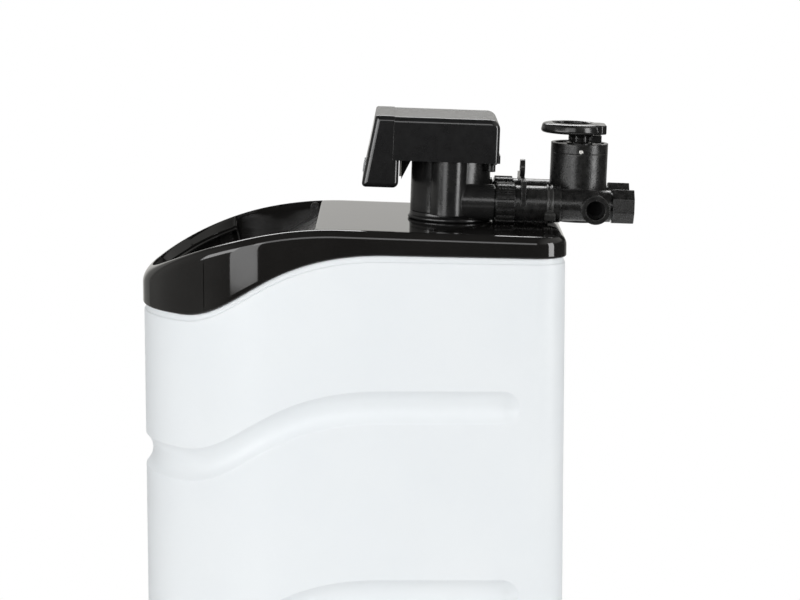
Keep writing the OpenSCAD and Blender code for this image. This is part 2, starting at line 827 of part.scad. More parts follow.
module float_rod() color(steel) translate([well_x + float_rod_x, well_y, 0])
    z_cyl(float_rod_d, float_z - float_rod_d, guide_z + 3 * guide_t);

// The brine tube runs in one upright plane: up out of the well, back under the deck and up through it
function unit(v) = v / norm(v);
function rounded(a, b, c, r, n) =
    let (u = unit(a - b), w = unit(c - b), half = acos(u * w) / 2, turn = 180 - 2 * half,
        start = b + u * r / tan(half), end = b + w * r / tan(half), centre = b + unit(u + w) * r / sin(half))
    [for (i = [0 : n]) centre
        + ((start - centre) * sin(turn * (1 - i / n)) + (end - centre) * sin(turn * i / n)) / sin(turn)];

tube_sides = 12;
bend_steps = 8;
tube_seat = 4;
tube_gap = 4;
tube_foot = [brine_socket_x, well_outlet_y, tube_foot_z];
tube_under = deck_point([brine_socket_x, -far_pitch, -tube_bend - tube_gap]);
tube_corner = [brine_socket_x, well_outlet_y, tube_under.z + (tube_under.y - well_outlet_y) * tan(lean)];
tube_head = deck_point([brine_socket_x, -far_pitch, far_z - tube_seat]);
tube_path = concat(
    [tube_foot], rounded(tube_foot, tube_corner, tube_under, tube_bend, bend_steps),
    rounded(tube_corner, tube_under, tube_head, tube_bend, bend_steps), [tube_head]
);

// A round tube swept along a path that lies in one upright plane
module swept(path, d, sides) {
    n = len(path);
    ahead = [for (i = [0 : n - 1]) unit(path[min(i + 1, n - 1)] - path[max(i - 1, 0)])];
    across_x = [1, 0, 0];
    points = [for (i = [0 : n - 1], k = [0 : sides - 1]) let (a = 360 * k / sides)
        path[i] + d / 2 * (cos(a) * across_x + sin(a) * cross(ahead[i], across_x))];
    side_faces = [for (i = [0 : n - 2], k = [0 : sides - 1], half = [0, 1])
        let (a = i * sides + k, b = i * sides + (k + 1) % sides)
        half == 0 ? [a, b, a + sides] : [b, b + sides, a + sides]];
    start_cap = [for (k = [1 : sides - 2]) [0, k + 1, k]];
    last = (n - 1) * sides;
    end_cap = [for (k = [1 : sides - 2]) [last, last + k, last + k + 1]];
    polyhedron(points, concat(side_faces, start_cap, end_cap));
}

module brine_tube() color(natural_plastic) swept(tube_path, tube_d, tube_sides);

barb_w = 3;
overflow_out = 20;
overflow_in = -2 * inner_inset - 8;
overflow_drop = 34;
overflow_bore = overflow_d - 8;
overflow_flange_d = overflow_d + 14;
overflow_flange_t = 4;

module overflow_elbow() color(nylon_black) translate([overflow_place, back_y, overflow_z]) difference() {
    union() {
        y_cyl(overflow_d, overflow_in, overflow_out);
        y_cyl(overflow_flange_d, -cabinet_inset, overflow_flange_t - cabinet_inset);
        translate([0, overflow_out, 0]) {
            sphere(d = overflow_d);
            z_cyl(overflow_d - 4, -overflow_drop, 0);
            for (i = [0 : 2])
                let (z = 1 - overflow_drop + 2 * barb_w * i) z_cyl(overflow_d - 2, z, z + barb_w);
        }
    }
    y_cyl(overflow_bore, overflow_in - past, overflow_out);
    translate([0, overflow_out, 0]) z_cyl(overflow_bore, -overflow_drop - past, 0);
}

overflow_nut_t = 7;
overflow_nut_d = overflow_d + 16;

module overflow_nut() color(nylon_black)
    translate([overflow_place, back_y - inner_inset, overflow_z]) difference() {
        translate([0, -overflow_nut_t, 0]) rotate([-90, 0, 0])
            cylinder(d = overflow_nut_d, h = overflow_nut_t, $fn = 6);
        y_cyl(overflow_d + 2 * running, -overflow_nut_t - past, past);
    }

// Resin tank and what stands in it

function dome_arc(r_in, r_out, z, h, up) = [for (i = [0 : dome_steps])
    let (a = 90 * i / dome_steps) [r_in + (r_out - r_in) * cos(a), z + up * h * sin(a)]];

// Outline of the tank's outside, or of its inside where grow is negative
module tank_outline(grow) {
    r = tank_d / 2 + grow;
    shoulder = neck_z - neck_len - shoulder_h;
    polygon(concat(
        reversed(dome_arc(0, r, tank_bottom + dome_h, dome_h + grow, -1)),
        dome_arc(neck_d / 2 + grow, r, shoulder, shoulder_h + grow, 1),
        [[neck_d / 2 + grow, neck_z], [0, neck_z]]
    ));
}

module resin_tank() color(tank_blue) on_deck() difference() {
    rotate_extrude() tank_outline(0);
    rotate_extrude() intersection() {
        tank_outline(-tank_wall);
        translate([0, tank_bottom]) square([tank_d, tank_len - neck_len]);
    }
    z_cyl(thread_d, neck_z - neck_len - tank_wall - past, past);
}

module tank_boot() color(satin_black) difference() {
    translate([0, boot_y, 0])
        z_cyl(tank_d + 2 * boot_wall + 2 * boot_h * sin(lean), floor_t, floor_t + boot_h);
    on_deck() rotate_extrude() tank_outline(fit);
    translate([0, boot_y, 0]) z_cyl(tank_d / 2, 0, floor_t + boot_h);
}

module resin_bed() color(amber_beads) on_deck() difference() {
    rotate_extrude() intersection() {
        tank_outline(-tank_wall - fit);
        translate([0, tank_bottom]) square([tank_d, bed_top - tank_bottom]);
    }
    z_cyl(riser_d + 2 * fit, tank_bottom, bed_top + past);
    z_cyl(basket_d + 2 * fit, tank_bottom, basket_top + fit);
}

riser_bore = riser_d - 2 * riser_wall;
riser_seat = 12;
basket_slot_w = 2;
basket_bore = basket_d - 2 * basket_wall;
top_basket_h = 55;
top_basket_foot = -spigot_len - top_basket_h;

// Slots right through a basket, between two heights
module basket_slots(z0, z1) for (a = [0 : 30 : 150]) rotate([0, 0, a])
    box(-basket_d, basket_d, -basket_slot_w / 2, basket_slot_w / 2, z0, z1);

module riser_tube() color(natural_plastic) on_deck()
    z_ring(riser_d, riser_bore, basket_top - riser_seat, riser_top);

module bottom_distributor() color(natural_plastic) on_deck() difference() {
    z_cyl(basket_d, basket_bottom, basket_top);
    z_cyl(basket_bore, basket_bottom + basket_wall, basket_top - riser_seat - 2);
    z_cyl(riser_d + 2 * running, basket_top - riser_seat, basket_top + past);
    z_cyl(riser_bore, basket_bottom + basket_wall, basket_top);
    basket_slots(basket_bottom + 2 * basket_wall, basket_top - riser_seat - 2 * basket_wall);
}

module top_distributor() color(natural_plastic) on_deck() difference() {
    z_cyl(basket_d, top_basket_foot, -spigot_len);
    z_cyl(basket_bore, top_basket_foot + basket_wall, -spigot_len + past);
    z_cyl(riser_d + 2 * fit, top_basket_foot - past, -spigot_len + past);
    basket_slots(top_basket_foot + 2 * basket_wall, -spigot_len - 4 * basket_wall);
}

seal_section = 3.4;
seal_mid_r = thread_d / 2 - seal_section / 2 - 2 * running;
neck_seal_z = neck_z - 8;

module neck_seal() color(nylon_black) on_deck() translate([0, 0, neck_seal_z])
    rotate_extrude() translate([seal_mid_r, 0]) circle(d = seal_section);

// Control valve

module deck_ring() color(satin_black) on_deck() z_ring(ring_d, foot_d + 2 * fit, 0, ring_h);

// Bosses on the far side: how far back from the axis, outer diameter and bore
drain_boss = [far_pitch, 22, 14];
injector_boss = [0, 30, 18];
brine_boss = [-far_pitch, 22, 12];
far_bosses = [drain_boss, injector_boss, brine_boss];
far_way_d = 5;

flow_hole_d = 7;
flow_hole_r = 21;
spigot_core_d = riser_d + 7;
screw_d = 4;
screw_r = 38;
screw_len = 14;

module at_quarters(r) for (a = [0 : 90 : 270]) rotate([0, 0, a]) translate([r, 0, 0]) children();

// Ways from the far bosses to the seal stack, between two distances from its axis
module far_ways(from) translate([0, 0, far_z]) for (b = far_bosses)
    rotate([0, 0, atan2(b[0], -far_bore_x)]) x_cyl(far_way_d, from, norm([b[0], far_bore_x]));

module valve_body() color(satin_black) on_deck() difference() {
    union() {
        z_cyl(foot_d, neck_z, ring_h + past);
        z_cyl(thread_d - 2 * fit, -spigot_len, neck_z + past);
        z_cyl(valve_d, ring_h + fit, valve_h);
        translate([boss_x, -boss_fore, 0]) z_cyl(boss_d, ring_h + fit, valve_h);
        difference() {
            at_ports() y_cyl(port_d, 0, port_len);
            z_cyl(ring_d + 2 * fit, -past, ring_h + fit);
        }
        at_ports() y_cyl(nose_d, port_len - 1, nose_end);
        for (b = far_bosses) translate([0, b[0], far_z]) x_cyl(b[1], -far_x, -valve_d / 4);
    }
    z_cyl(seal_bore, bore_floor, valve_h + past);
    z_cyl(plug_flange_d + 2 * fit, valve_h - plug_flange_t, valve_h + past);
    at_ports() y_cyl(port_bore, -port_bore / 3, nose_end + past);
    translate([0, 0, port_z]) x_cyl(cross_bore, -port_x, port_x);
    z_cyl(riser_d + 2 * running, -spigot_len - past, riser_top);
    z_cyl(riser_bore - 3, riser_top - past, bore_floor + past);
    difference() {
        z_cyl(basket_bore, -spigot_len - past, riser_top - 4);
        z_cyl(spigot_core_d, -spigot_len - 2 * past, riser_top);
    }
    at_quarters(flow_hole_r) z_cyl(flow_hole_d, riser_top - 5, bore_floor + 4);
    translate([0, 0, neck_seal_z]) difference() {
        z_cyl(thread_d + 2, -2, 2);
        z_cyl(2 * seal_mid_r - seal_section - 4 * running, -3, 3);
    }
    for (b = far_bosses) translate([0, b[0], far_z]) x_cyl(b[2], -far_x - past, -far_bore_x);
    far_ways(seal_bore / 2 - 3);
    at_quarters(screw_r) z_cyl(screw_d + 2 * running, plate_top - screw_len - past, valve_h + past);
}

module seal_stack() color(pale_plastic) on_deck() difference() {
    z_ring(seal_bore - 2 * running, piston_d + 2 * running, bore_floor + running, seal_top);
    translate([0, 0, port_z]) x_cyl(cross_bore - 2, -seal_bore, seal_bore);
    far_ways(0);
}

piston_land = 9;
piston_waist = piston_d - 7;

module piston() color(natural_plastic) on_deck() difference() {
    z_cyl(piston_d, piston_z, piston_z + piston_len);
    z_ring(piston_d + 2, piston_waist, piston_z + piston_land, piston_z + piston_len - piston_land);
}

module piston_rod() color(steel) on_deck() z_cyl(rod_d, piston_z + piston_len, rod_top);

module end_plug() color(pale_plastic) on_deck() difference() {
    union() {
        z_cyl(seal_bore - 2 * running, valve_h - plug_len, valve_h);
        z_cyl(plug_flange_d, valve_h - plug_flange_t, valve_h);
    }
    z_cyl(rod_d + 2 * running, valve_h - plug_len - past, valve_h + past);
}

gusset_x = 30;
gusset_t = 4;
gusset_h = 27;
gusset_len = 13;
plate_gap = 1;
plate_front = -overhang_rear + head_t + plate_gap;
plate_half = head_w / 2 - head_t - fit;

module backplate() color(satin_black) on_deck() difference() {
    union() {
        box(-plate_half, plate_half, plate_front, head_rear - head_t - fit, valve_h, plate_top);
        z_cyl(gear_tower_d, plate_top - 1, gear_z - fit);
        for (side = [-1, 1]) translate([side * gusset_x, 0, 0]) across(gusset_t) polygon([
            [plate_front, valve_h], [plate_front + gusset_len, valve_h], [plate_front, valve_h - gusset_h]
        ]);
    }
    z_cyl(gear_hub_d, valve_h - past, gear_z + past);
    at_quarters(screw_r) z_cyl(screw_d + 2 * fit, valve_h - past, plate_top + past);
}

screw_head_h = 3;
screw_slot = 1.2;

module head_screws() color(steel) on_deck() at_quarters(screw_r) {
    z_cyl(screw_d, plate_top - screw_len, plate_top + screw_slot);
    difference() {
        z_cyl(2 * screw_d, plate_top, plate_top + screw_head_h);
        box(-screw_slot / 2, screw_slot / 2, -screw_d, screw_d,
            plate_top + screw_head_h - screw_slot, plate_top + screw_head_h + past);
    }
}

// A toothed outline of straight-sided teeth, thinned by the play between them
pressure_angle = 20;
module toothed(teeth) {
    r = gear_module * teeth / 2;
    tip = 0.8 * gear_module;
    root = 1.1 * gear_module;
    half = PI * gear_module / 4 - backlash / 2;
    tip_half = (half - tip * tan(pressure_angle)) / (r + tip) * 180 / PI;
    root_half = (half + root * tan(pressure_angle)) / (r - root) * 180 / PI;
    polygon([for (i = [0 : teeth - 1], p = [[r - root, -root_half], [r + tip, -tip_half], [r + tip, tip_half],
        [r - root, root_half]]) let (a = 360 * i / teeth + p[1]) p[0] * [cos(a), sin(a)]]);
}

module at_motor() rotate([0, 0, motor_angle]) translate([gear_centres, 0, 0]) children();

gear_hole_d = 11;
gear_top = gear_z + gear_h;

module drive_gear() color(natural_plastic) on_deck() difference() {
    union() {
        translate([0, 0, gear_z]) rotate([0, 0, motor_angle])
            linear_extrude(height = gear_h) toothed(gear_teeth);
        z_cyl(gear_hub_d - 2 * running, plate_top, gear_z + 1);
    }
    z_cyl(rod_d + 2 * running, plate_top - past, gear_top + past);
    rotate([0, 0, 45]) at_quarters(gear_centres / 2) z_cyl(gear_hole_d, gear_z - past, gear_top + past);
}

module motor_pinion() color(steel) on_deck() at_motor() {
    translate([0, 0, gear_z]) rotate([0, 0, 180 + 180 / pinion_teeth])
        linear_extrude(height = gear_h) toothed(pinion_teeth);
    z_cyl(motor_shaft_d, plate_top + 3, gear_z + past);
}

motor_ear_w = 8;
motor_ear = 6;
motor_ear_t = 2;

module motor() color(steel) on_deck() at_motor() difference() {
    union() {
        z_cyl(motor_d, plate_top, plate_top + motor_h);
        box(-motor_ear_w / 2, motor_ear_w / 2, -motor_d / 2 - motor_ear, motor_d / 2 + motor_ear,
            plate_top, plate_top + motor_ear_t);
    }
    z_cyl(motor_shaft_d + 2 * running, plate_top + 2, plate_top + motor_h + past);
}

// Outline of the head behind its seam, with a round upper rear edge
module head_outline(inset, front, bottom) {
    rear = head_rear - inset;
    top = head_top - inset;
    r = head_r - inset;
    polygon(concat(
        [[front, bottom], [front, top]],
        [for (a = [0 : 15 : 90]) [rear - r + r * sin(a), top - r + r * cos(a)]],
        [[rear, bottom]]
    ));
}

step_t = 1.5;
step_h = 10;

module rear_cover() color(satin_black) on_deck() {
    difference() {
        across(head_w) head_outline(0, -head_seam, valve_h);
        across(head_w - 2 * head_t) head_outline(head_t, -head_seam - past, valve_h - past);
    }
    box(-head_w / 2, head_w / 2, head_rear - head_t / 2, head_rear + step_t, valve_h, valve_h + step_h);
}

module key_places(i) on_face() translate([(i - 1.5) * key_pitch, keys_y, 0]) children();

// A block on the panel's face: half sizes across and up the face, between two depths
module face_block(half_w, half_h, z0, z1) box(-half_w, half_w, -half_h, half_h, z0, z1);

module at_window() on_face() translate([0, window_y, 0]) children();

window_lip = 4;

module front_panel() color(satin_black) difference() {
    on_deck() {
        front_in = panel_t / cos(face_tilt);
        difference() {
            across(head_w) polygon([
                [-head_low_front, overhang_z], [-head_top_front, head_top], [-head_seam, head_top],
                [-head_seam, valve_h], [-overhang_rear, valve_h], [-overhang_rear, overhang_z]
            ]);
            across(head_w - 2 * head_t) polygon([
                [face_y(overhang_z + head_t) + front_in, overhang_z + head_t],
                [face_y(head_top - head_t) + front_in, head_top - head_t],
                [-head_seam + past, head_top - head_t], [-head_seam + past, valve_h + past],
                [-overhang_rear - head_t, valve_h + past], [-overhang_rear - head_t, overhang_z + head_t]
            ]);
        }
    }
    at_window() {
        face_block(window_w / 2 + fit, window_h / 2 + fit, -window_t, past);
        face_block(window_w / 2 - window_lip, window_h / 2 - window_lip, -panel_t - past, past);
    }
    for (i = [0 : 3]) key_places(i) face_block(key_w / 2 + fit, key_h / 2 + fit, -panel_t - past, past);
}

module display_window() color(smoke_window) at_window() face_block(window_w / 2, window_h / 2, -window_t, 0);

key_foot = panel_t + fit;
key_stem_w = 4;

module key(i) color(key_grey) key_places(i) {
    face_block(key_w / 2, key_h / 2, -key_foot - key_flange / 2, key_proud);
    face_block(key_w / 2 + key_flange, key_h / 2 + key_flange, -key_foot - key_flange, -key_foot);
    face_block(key_stem_w / 2, key_stem_w / 2, -key_back, -key_foot);
}

display_inset = 2;
switch_w = 6;
post_d = 6;
post_inset = 4;
board_mid = -board_depth - board_t / 2;

module circuit_board() color(board_green) {
    on_face() face_block(board_w / 2, board_h / 2, -board_depth - board_t, -board_depth);
    at_window()
        face_block(window_w / 2 - display_inset, window_h / 2 - display_inset, board_mid, -panel_t - fit);
    for (i = [0 : 3]) key_places(i)
        face_block(switch_w / 2, switch_w / 2, board_mid, -key_back - key_travel - fit);
    on_face() for (x = [-1, 1], y = [-1, 1])
        translate([x * (board_w / 2 - post_inset), y * (board_h / 2 - post_inset), 0])
            z_cyl(post_d, board_mid, -panel_t);
}

// Fittings on the far side

injector_seat = 4;
injector_bore = 3;
groove_places = [8, 13];
cap_plate_t = 5;
cap_rib_d = 4;

module at_far(boss) on_deck() translate([0, boss[0], far_z]) children();

module injector() color(pale_plastic) at_far(injector_boss) difference() {
    x_cyl(injector_boss[2] - 2 * running, -far_x + injector_seat, -far_bore_x);
    x_cyl(injector_bore, -far_x, -far_bore_x + past);
    for (x = groove_places) rotate([0, 90, 0])
        z_ring(injector_boss[2] + 2, injector_boss[2] - 4, x - far_x, x - far_x + 2);
}

module injector_cap() color(satin_black) at_far(injector_boss) {
    x_cyl(injector_boss[2] - 2 * running, -far_x, -far_x + injector_seat);
    x_cyl(injector_boss[1], -far_x - cap_plate_t, -far_x);
    for (a = [0 : 60 : 300]) rotate([a, 0, 0]) translate([0, injector_boss[1] / 2 - 1, 0])
        x_cyl(cap_rib_d, -far_x - cap_plate_t, -far_x);
}

plug_in = -far_bore_x - 3;
hose_d = 13;
hose_bore = 9;
hose_len = 36;
barb_d = 15;
barb_pitch = 7;
drain_flange_t = 6;

module drain_barb() color(nylon_black) at_far(drain_boss) difference() {
    union() {
        x_cyl(drain_boss[2] - 2 * running, -far_x, plug_in);
        x_cyl(drain_boss[1], -far_x - drain_flange_t, -far_x);
        x_cyl(hose_d, -far_x - hose_len, -far_x);
        for (i = [0 : 2]) let (x = 2 - far_x - hose_len + barb_pitch * i) x_cyl(barb_d, x, x + barb_w);
    }
    x_cyl(hose_bore, -far_x - hose_len - past, -far_bore_x);
}

socket_d = tube_d + 7;
socket_down = 16;
socket_up = 9;

module brine_elbow() color(nylon_black) at_far(brine_boss) difference() {
    union() {
        x_cyl(brine_boss[2] - 2 * running, -far_x, plug_in);
        x_cyl(socket_d, brine_socket_x, -far_x);
        translate([brine_socket_x, 0, 0]) z_cyl(socket_d, -socket_down, socket_up);
    }
    x_cyl(far_way_d, brine_socket_x, -far_bore_x);
    translate([brine_socket_x, 0, 0]) z_cyl(tube_d + 2 * fit, -socket_down - past, -tube_seat);
    translate([brine_socket_x, 0, 0]) z_cyl(far_way_d, -tube_seat - past, 0);
}

// Flow meter in the far port

meter_axle_d = 3;
meter_hub_d = 8;
meter_from = 16;
meter_to = 40;
meter_mid = (meter_from + meter_to) / 2;
cage_t = 3;
cage_rim = 2;
blade_t = 1.2;
blade_half = 5;
blade_twist = 30;

module in_meter() on_deck() translate([-port_x, 0, port_z]) children();

module meter_turbine() color(natural_plastic) in_meter() {
    y_cyl(meter_axle_d, meter_from + 0.5, meter_to - 0.5);
    y_cyl(meter_hub_d, meter_from + 2 * cage_t, meter_to - 2 * cage_t);
    for (a = [0 : 60 : 300]) rotate([0, a, 0])
        translate([0, meter_mid, meter_axle_d]) rotate([0, 0, blade_twist])
            box(-blade_t / 2, blade_t / 2, -blade_half, blade_half, 0, port_bore / 2 - 4);
}

module meter_cage() color(pale_plastic) in_meter() for (y = [meter_from, meter_to - cage_t]) difference() {
    union() {
        difference() {
            y_cyl(port_bore - 2 * running, y, y + cage_t);
            y_cyl(port_bore - 2 * cage_rim, y - past, y + cage_t + past);
        }
        y_cyl(meter_axle_d + 2 * cage_rim, y, y + cage_t);
        for (a = [0 : 120 : 240]) rotate([0, a, 0])
            box(-cage_rim / 2, cage_rim / 2, y, y + cage_t, 2.5, port_bore / 2 - 1);
    }
    y_cyl(meter_axle_d + 2 * running, y - past, y + cage_t + past);
}

meter_plug_w = 16;
meter_plug_t = 2.5;
meter_plug_h = 20;
meter_plug_toe = 3;

module meter_plug() color(pale_plastic) on_deck() translate([gusset_x, plate_front, valve_h]) {
    box(-meter_plug_w / 2, meter_plug_w / 2, -meter_plug_t, 0, -meter_plug_h, 0);
    box(-meter_plug_w / 3, meter_plug_w / 3, -meter_plug_t, 0,
        -meter_plug_h - meter_plug_toe, -meter_plug_h / 2);
}

gland_back = 8;
gland_flange = [15, 5];
gland_body = [11, 14];
gland_bore = 6.5;

module cable_gland() color(nylon_black) on_deck()
    translate([gusset_x, head_rear - gland_back, valve_h]) difference() {
        union() {
            z_cyl(gland_flange[0], -gland_flange[1], 0);
            z_cyl(gland_body[0], -gland_body[1], 0);
        }
        z_cyl(gland_bore, -gland_body[1] - past, -gland_flange[1] - 3);
    }

// Rear connections

rib_w = 5;
rib_h = 2;

module union_nuts() color(nylon_black) on_deck() at_ports() difference() {
    union() {
        y_cyl(union_d - 2 * rib_h, union_y, union_end);
        for (i = [0 : union_ribs - 1]) rotate([0, 360 * i / union_ribs, 0])
            box(-rib_w / 2, rib_w / 2, union_y + 1, union_end - 1, union_d / 2 - 2 * rib_h, union_d / 2);
    }
    y_cyl(nose_d + 2 * fit, union_y - past, grip_y);
    y_cyl(grip_bore, grip_y - past, union_end + past);
}

module port_seals() color(nylon_black) on_deck() at_ports() difference() {
    y_cyl(nose_d - 2, nose_end, collar_y);
    y_cyl(port_bore + 1, nose_end - past, collar_y + past);
}

clip_leg = 5;
clip_leg_z = port_z - 1;
clip_under = port_z + port_d / 2 + fit;
clip_bridge_h = 7;
clip_loop_wall = 5;
clip_loop_z = clip_under + clip_bridge_h + clip_loop_d / 2 - 1;
clip_half = port_x + port_d / 2;

module at_legs() for (side = [-1, 1], leg = [-1, 1])
    translate([side * port_x + leg * (port_d - clip_leg) / 2, clip_y, 0]) children();

module port_clip() color(nylon_black) on_deck() {
    at_legs() box(-clip_leg / 2, clip_leg / 2, -clip_t / 2, clip_t / 2, clip_leg_z, clip_under + past);
    translate([0, clip_y, 0]) {
        box(-clip_half, clip_half, -clip_t / 2, clip_t / 2, clip_under, clip_under + clip_bridge_h);
        translate([0, 0, clip_loop_z]) difference() {
            y_cyl(clip_loop_d, -clip_t / 2, clip_t / 2);
            y_cyl(clip_loop_d - 2 * clip_loop_wall, -clip_t, clip_t);
        }
    }
}

tie_t = 1.5;
tie_head = [6, 12, 10];
tie_turn = 30;

module cable_tie() color(nylon_black) on_deck() translate([port_x, tie_y, port_z]) difference() {
    union() {
        y_cyl(port_d + 2 * fit + 2 * tie_t, -tie_w / 2, tie_w / 2);
        rotate([0, tie_turn, 0]) translate([port_d / 2, -tie_head.y / 2, -tie_head.z / 2]) cube(tie_head);
    }
    y_cyl(port_d + 2 * fit, -tie_w, tie_w);
}

// Bypass valve

rotor_floor = 8;
rotor_gap = 4;
rotor_top = tower_h - rotor_gap;
side_depth = 15;

module at_tower() on_deck() translate([0, tower_y, 0]) children();

module bypass_body() color(nylon_black) on_deck() difference() {
    union() {
        at_ports() {
            y_cyl(nose_d - 0.5, collar_y, collar_y + collar_t);
            y_cyl(grip_bore - 2 * fit, collar_y, union_end + 1);
            y_cyl(port_d, union_end + fit, tower_y - tower_d / 3);
            y_cyl(port_d - 5, tower_y - tower_d / 2, end_y - 2);
            y_cyl(end_spigot_d, end_y - 3, end_y + end_seat);
        }
        translate([0, tower_y, 0]) z_cyl(tower_d, rotor_floor - tower_floor, tower_h);
        translate([0, side_y, port_z - side_drop]) x_cyl(side_d, -side_x, side_x);
    }
    at_ports() y_cyl(port_bore, collar_y - past, end_y + end_seat + past);
    translate([0, tower_y, 0]) z_cyl(rotor_d + 2 * running, rotor_floor, tower_h + past);
    translate([0, tower_y, port_z]) x_cyl(cross_bore + 2, -port_x, port_x);
    translate([0, side_y, port_z - side_drop]) for (side = [0, 1]) mirror([side, 0, 0]) {
        x_cyl(cross_bore, port_x, side_x);
        x_cyl(side_bore, side_x - side_depth, side_x + past);
    }
    at_legs() box(-clip_leg / 2 - fit, clip_leg / 2 + fit, -clip_t / 2 - fit, clip_t / 2 + fit,
        clip_leg_z - fit, clip_under);
}

module bypass_rotor() color(pale_plastic) at_tower() difference() {
    union() {
        z_cyl(rotor_d, rotor_floor + fit, rotor_top);
        z_cyl(stem_d, rotor_top - 1, cap_top);
        z_cyl(stem_end_d, cap_top - 1, knob_z + knob_floor);
    }
    translate([0, 0, port_z]) y_cyl(cross_bore, -rotor_d, rotor_d);
}

pin_d = 5;
pin_len = 9;
pin_proud = 0.4;
pin_z = tower_h + 3.3;
cap_dish = [stem_d + 12, tower_d - 10, 2];

module bypass_cap() color(nylon_black) at_tower() difference() {
    union() {
        z_cyl(tower_d, tower_h, cap_top);
        z_cyl(rotor_d - 2 * running, rotor_top + fit, tower_h + 1);
    }
    z_cyl(stem_d + 2 * running, rotor_top, cap_top + past);
    z_ring(cap_dish[1], cap_dish[0], cap_top - cap_dish[2], cap_top + past);
    translate([0, 0, pin_z]) for (side = [0, 1]) mirror([side, 0, 0])
        x_cyl(pin_d + 2 * running, tower_d / 2 - pin_len, tower_d);
}

module cap_pins() color(steel) at_tower() translate([0, 0, pin_z]) for (side = [0, 1]) mirror([side, 0, 0])
    x_cyl(pin_d, tower_d / 2 - pin_len, tower_d / 2 + pin_proud);

hub_d = stem_end_d + 12;
web_t = 3;
web_reach = stem_end_d + 6;
pointer_w = 22;
pointer_rear = knob_d / 2 - knob_forward + 4;
pointer_len = knob_rim + 10;

module bypass_knob() color(gloss_black) at_tower() difference() {
    union() {
        translate([0, -knob_forward, 0]) difference() {
            z_cyl(knob_d, knob_z, knob_z + knob_h);
            z_cyl(knob_d - 2 * knob_rim, knob_z + knob_floor, knob_z + knob_h + past);
        }
        z_cyl(hub_d, cap_top + fit, knob_z + knob_floor + 2);
        box(-pointer_w / 2, pointer_w / 2, pointer_rear - pointer_len, pointer_rear,
            knob_z - 3, knob_z + knob_h - 1);
        for (a = [0 : 60 : 300]) rotate([0, 0, a])
            box(-web_t / 2, web_t / 2, 0, web_reach, cap_top + 1, knob_z + 1);
    }
    z_cyl(stem_end_d + 2 * running, cap_top - past, knob_z + knob_floor + fit);
}

nut_half = 22.5;
nut_turn = 14.5;

module end_nuts() color(nylon_black) on_deck() at_ports() difference() {
    translate([0, end_y, 0]) rotate([-90, nut_turn, 0])
        cylinder(d = end_flats / cos(nut_half), h = end_len, $fn = 8);
    y_cyl(end_spigot_d + 2 * fit, end_y - past, end_y + end_seat + fit);
    y_cyl(end_bore, end_y, end_y + end_len + past);
}

cabinet();
top_cover();
hinge_pins();
salt_lid();
salt_grid();
brine_well();
brine_well_cap();
brine_valve();
brine_pickup();
air_check();
float();
float_rod();
brine_tube();
overflow_elbow();
overflow_nut();
resin_tank();
tank_boot();
resin_bed();
riser_tube();
bottom_distributor();
top_distributor();
neck_seal();
deck_ring();
valve_body();
seal_stack();
piston();
piston_rod();
end_plug();
backplate();
head_screws();
motor();
motor_pinion();
drive_gear();
rear_cover();
front_panel();
display_window();
key(0);  // key_up
key(1);  // key_down
key(2);  // key_set
key(3);  // key_clean
circuit_board();
injector();
injector_cap();
drain_barb();
brine_elbow();
meter_turbine();
meter_cage();
meter_plug();
cable_gland();
union_nuts();
port_seals();
port_clip();
cable_tie();
bypass_body();
bypass_rotor();
bypass_cap();
cap_pins();
bypass_knob();
end_nuts();
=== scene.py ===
import json
import math
from collections import namedtuple
import bmesh
import bpy
import numpy as np
from mathutils import Matrix, Vector


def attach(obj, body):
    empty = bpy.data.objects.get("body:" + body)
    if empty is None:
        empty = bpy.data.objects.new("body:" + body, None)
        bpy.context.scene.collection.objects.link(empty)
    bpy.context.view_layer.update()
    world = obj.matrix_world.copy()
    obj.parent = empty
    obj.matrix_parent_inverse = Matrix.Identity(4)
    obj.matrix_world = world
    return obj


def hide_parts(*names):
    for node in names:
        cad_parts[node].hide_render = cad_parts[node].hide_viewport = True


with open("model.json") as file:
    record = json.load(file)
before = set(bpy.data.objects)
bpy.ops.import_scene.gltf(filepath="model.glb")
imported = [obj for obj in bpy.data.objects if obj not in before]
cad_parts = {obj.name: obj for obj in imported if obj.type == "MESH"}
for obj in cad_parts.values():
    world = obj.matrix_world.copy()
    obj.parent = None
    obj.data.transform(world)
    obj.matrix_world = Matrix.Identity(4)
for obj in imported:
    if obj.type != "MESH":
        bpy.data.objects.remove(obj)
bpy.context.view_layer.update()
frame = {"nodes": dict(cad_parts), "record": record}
nodes = frame["nodes"]
scene = bpy.context.scene
MM = 0.001

# Sizes shared with the solids, in millimetres
LEAN = math.radians(2)
TANK_Y, DECK_Z = 121.0, 940.0
BACK_Y, NOSE_Y, HALF_W, CORNER_R = 260.0, -260.0, 160.0, 40.0
ARC_Y, ARC_R = -10.0, 436.0
OPEN_Y, OPEN_HALF, OPEN_NOSE = -42.0, 150.0, -97.5
SKIRT_H, WAVE_DROP, REAR_SLOPE = 28.6, 76.5, math.radians(1.2)
WAVE_START, WAVE_LEAVE, WAVE_ARRIVE, WAVE_END = -205.0, -135.0, -108.0, 37.0
GROOVE_COUNT, GROOVE_FIRST, GROOVE_PITCH = 3, 184.0, 232.0
GROOVE_HALF, GROOVE_DEPTH, GROOVE_END = 20.0, 8.6, 183.0
VALVE_H, RING_R, RING_H, FOOT_R = 77.0, 51.5, 10.0, 43.0
HEAD_HALF, HEAD_TOP, HEAD_REAR, HEAD_SEAM, HEAD_R = 72.0, 131.0, 56.5, 72.0, 12.0
PANEL_LOW, PANEL_TOP, PANEL_Z, PANEL_BACK = 110.0, 95.0, 43.0, 65.0
PORT_X, PORT_Z, PORT_R, TIE_Y = 40.0, 26.5, 22.0, 121.5
SIDE_Y, SIDE_DROP = 176.5, 2.5
TOWER_Y, KNOB_Z, KNOB_H, KNOB_R, KNOB_FORWARD = 158.0, 112.0, 12.6, 38.0, 10.5

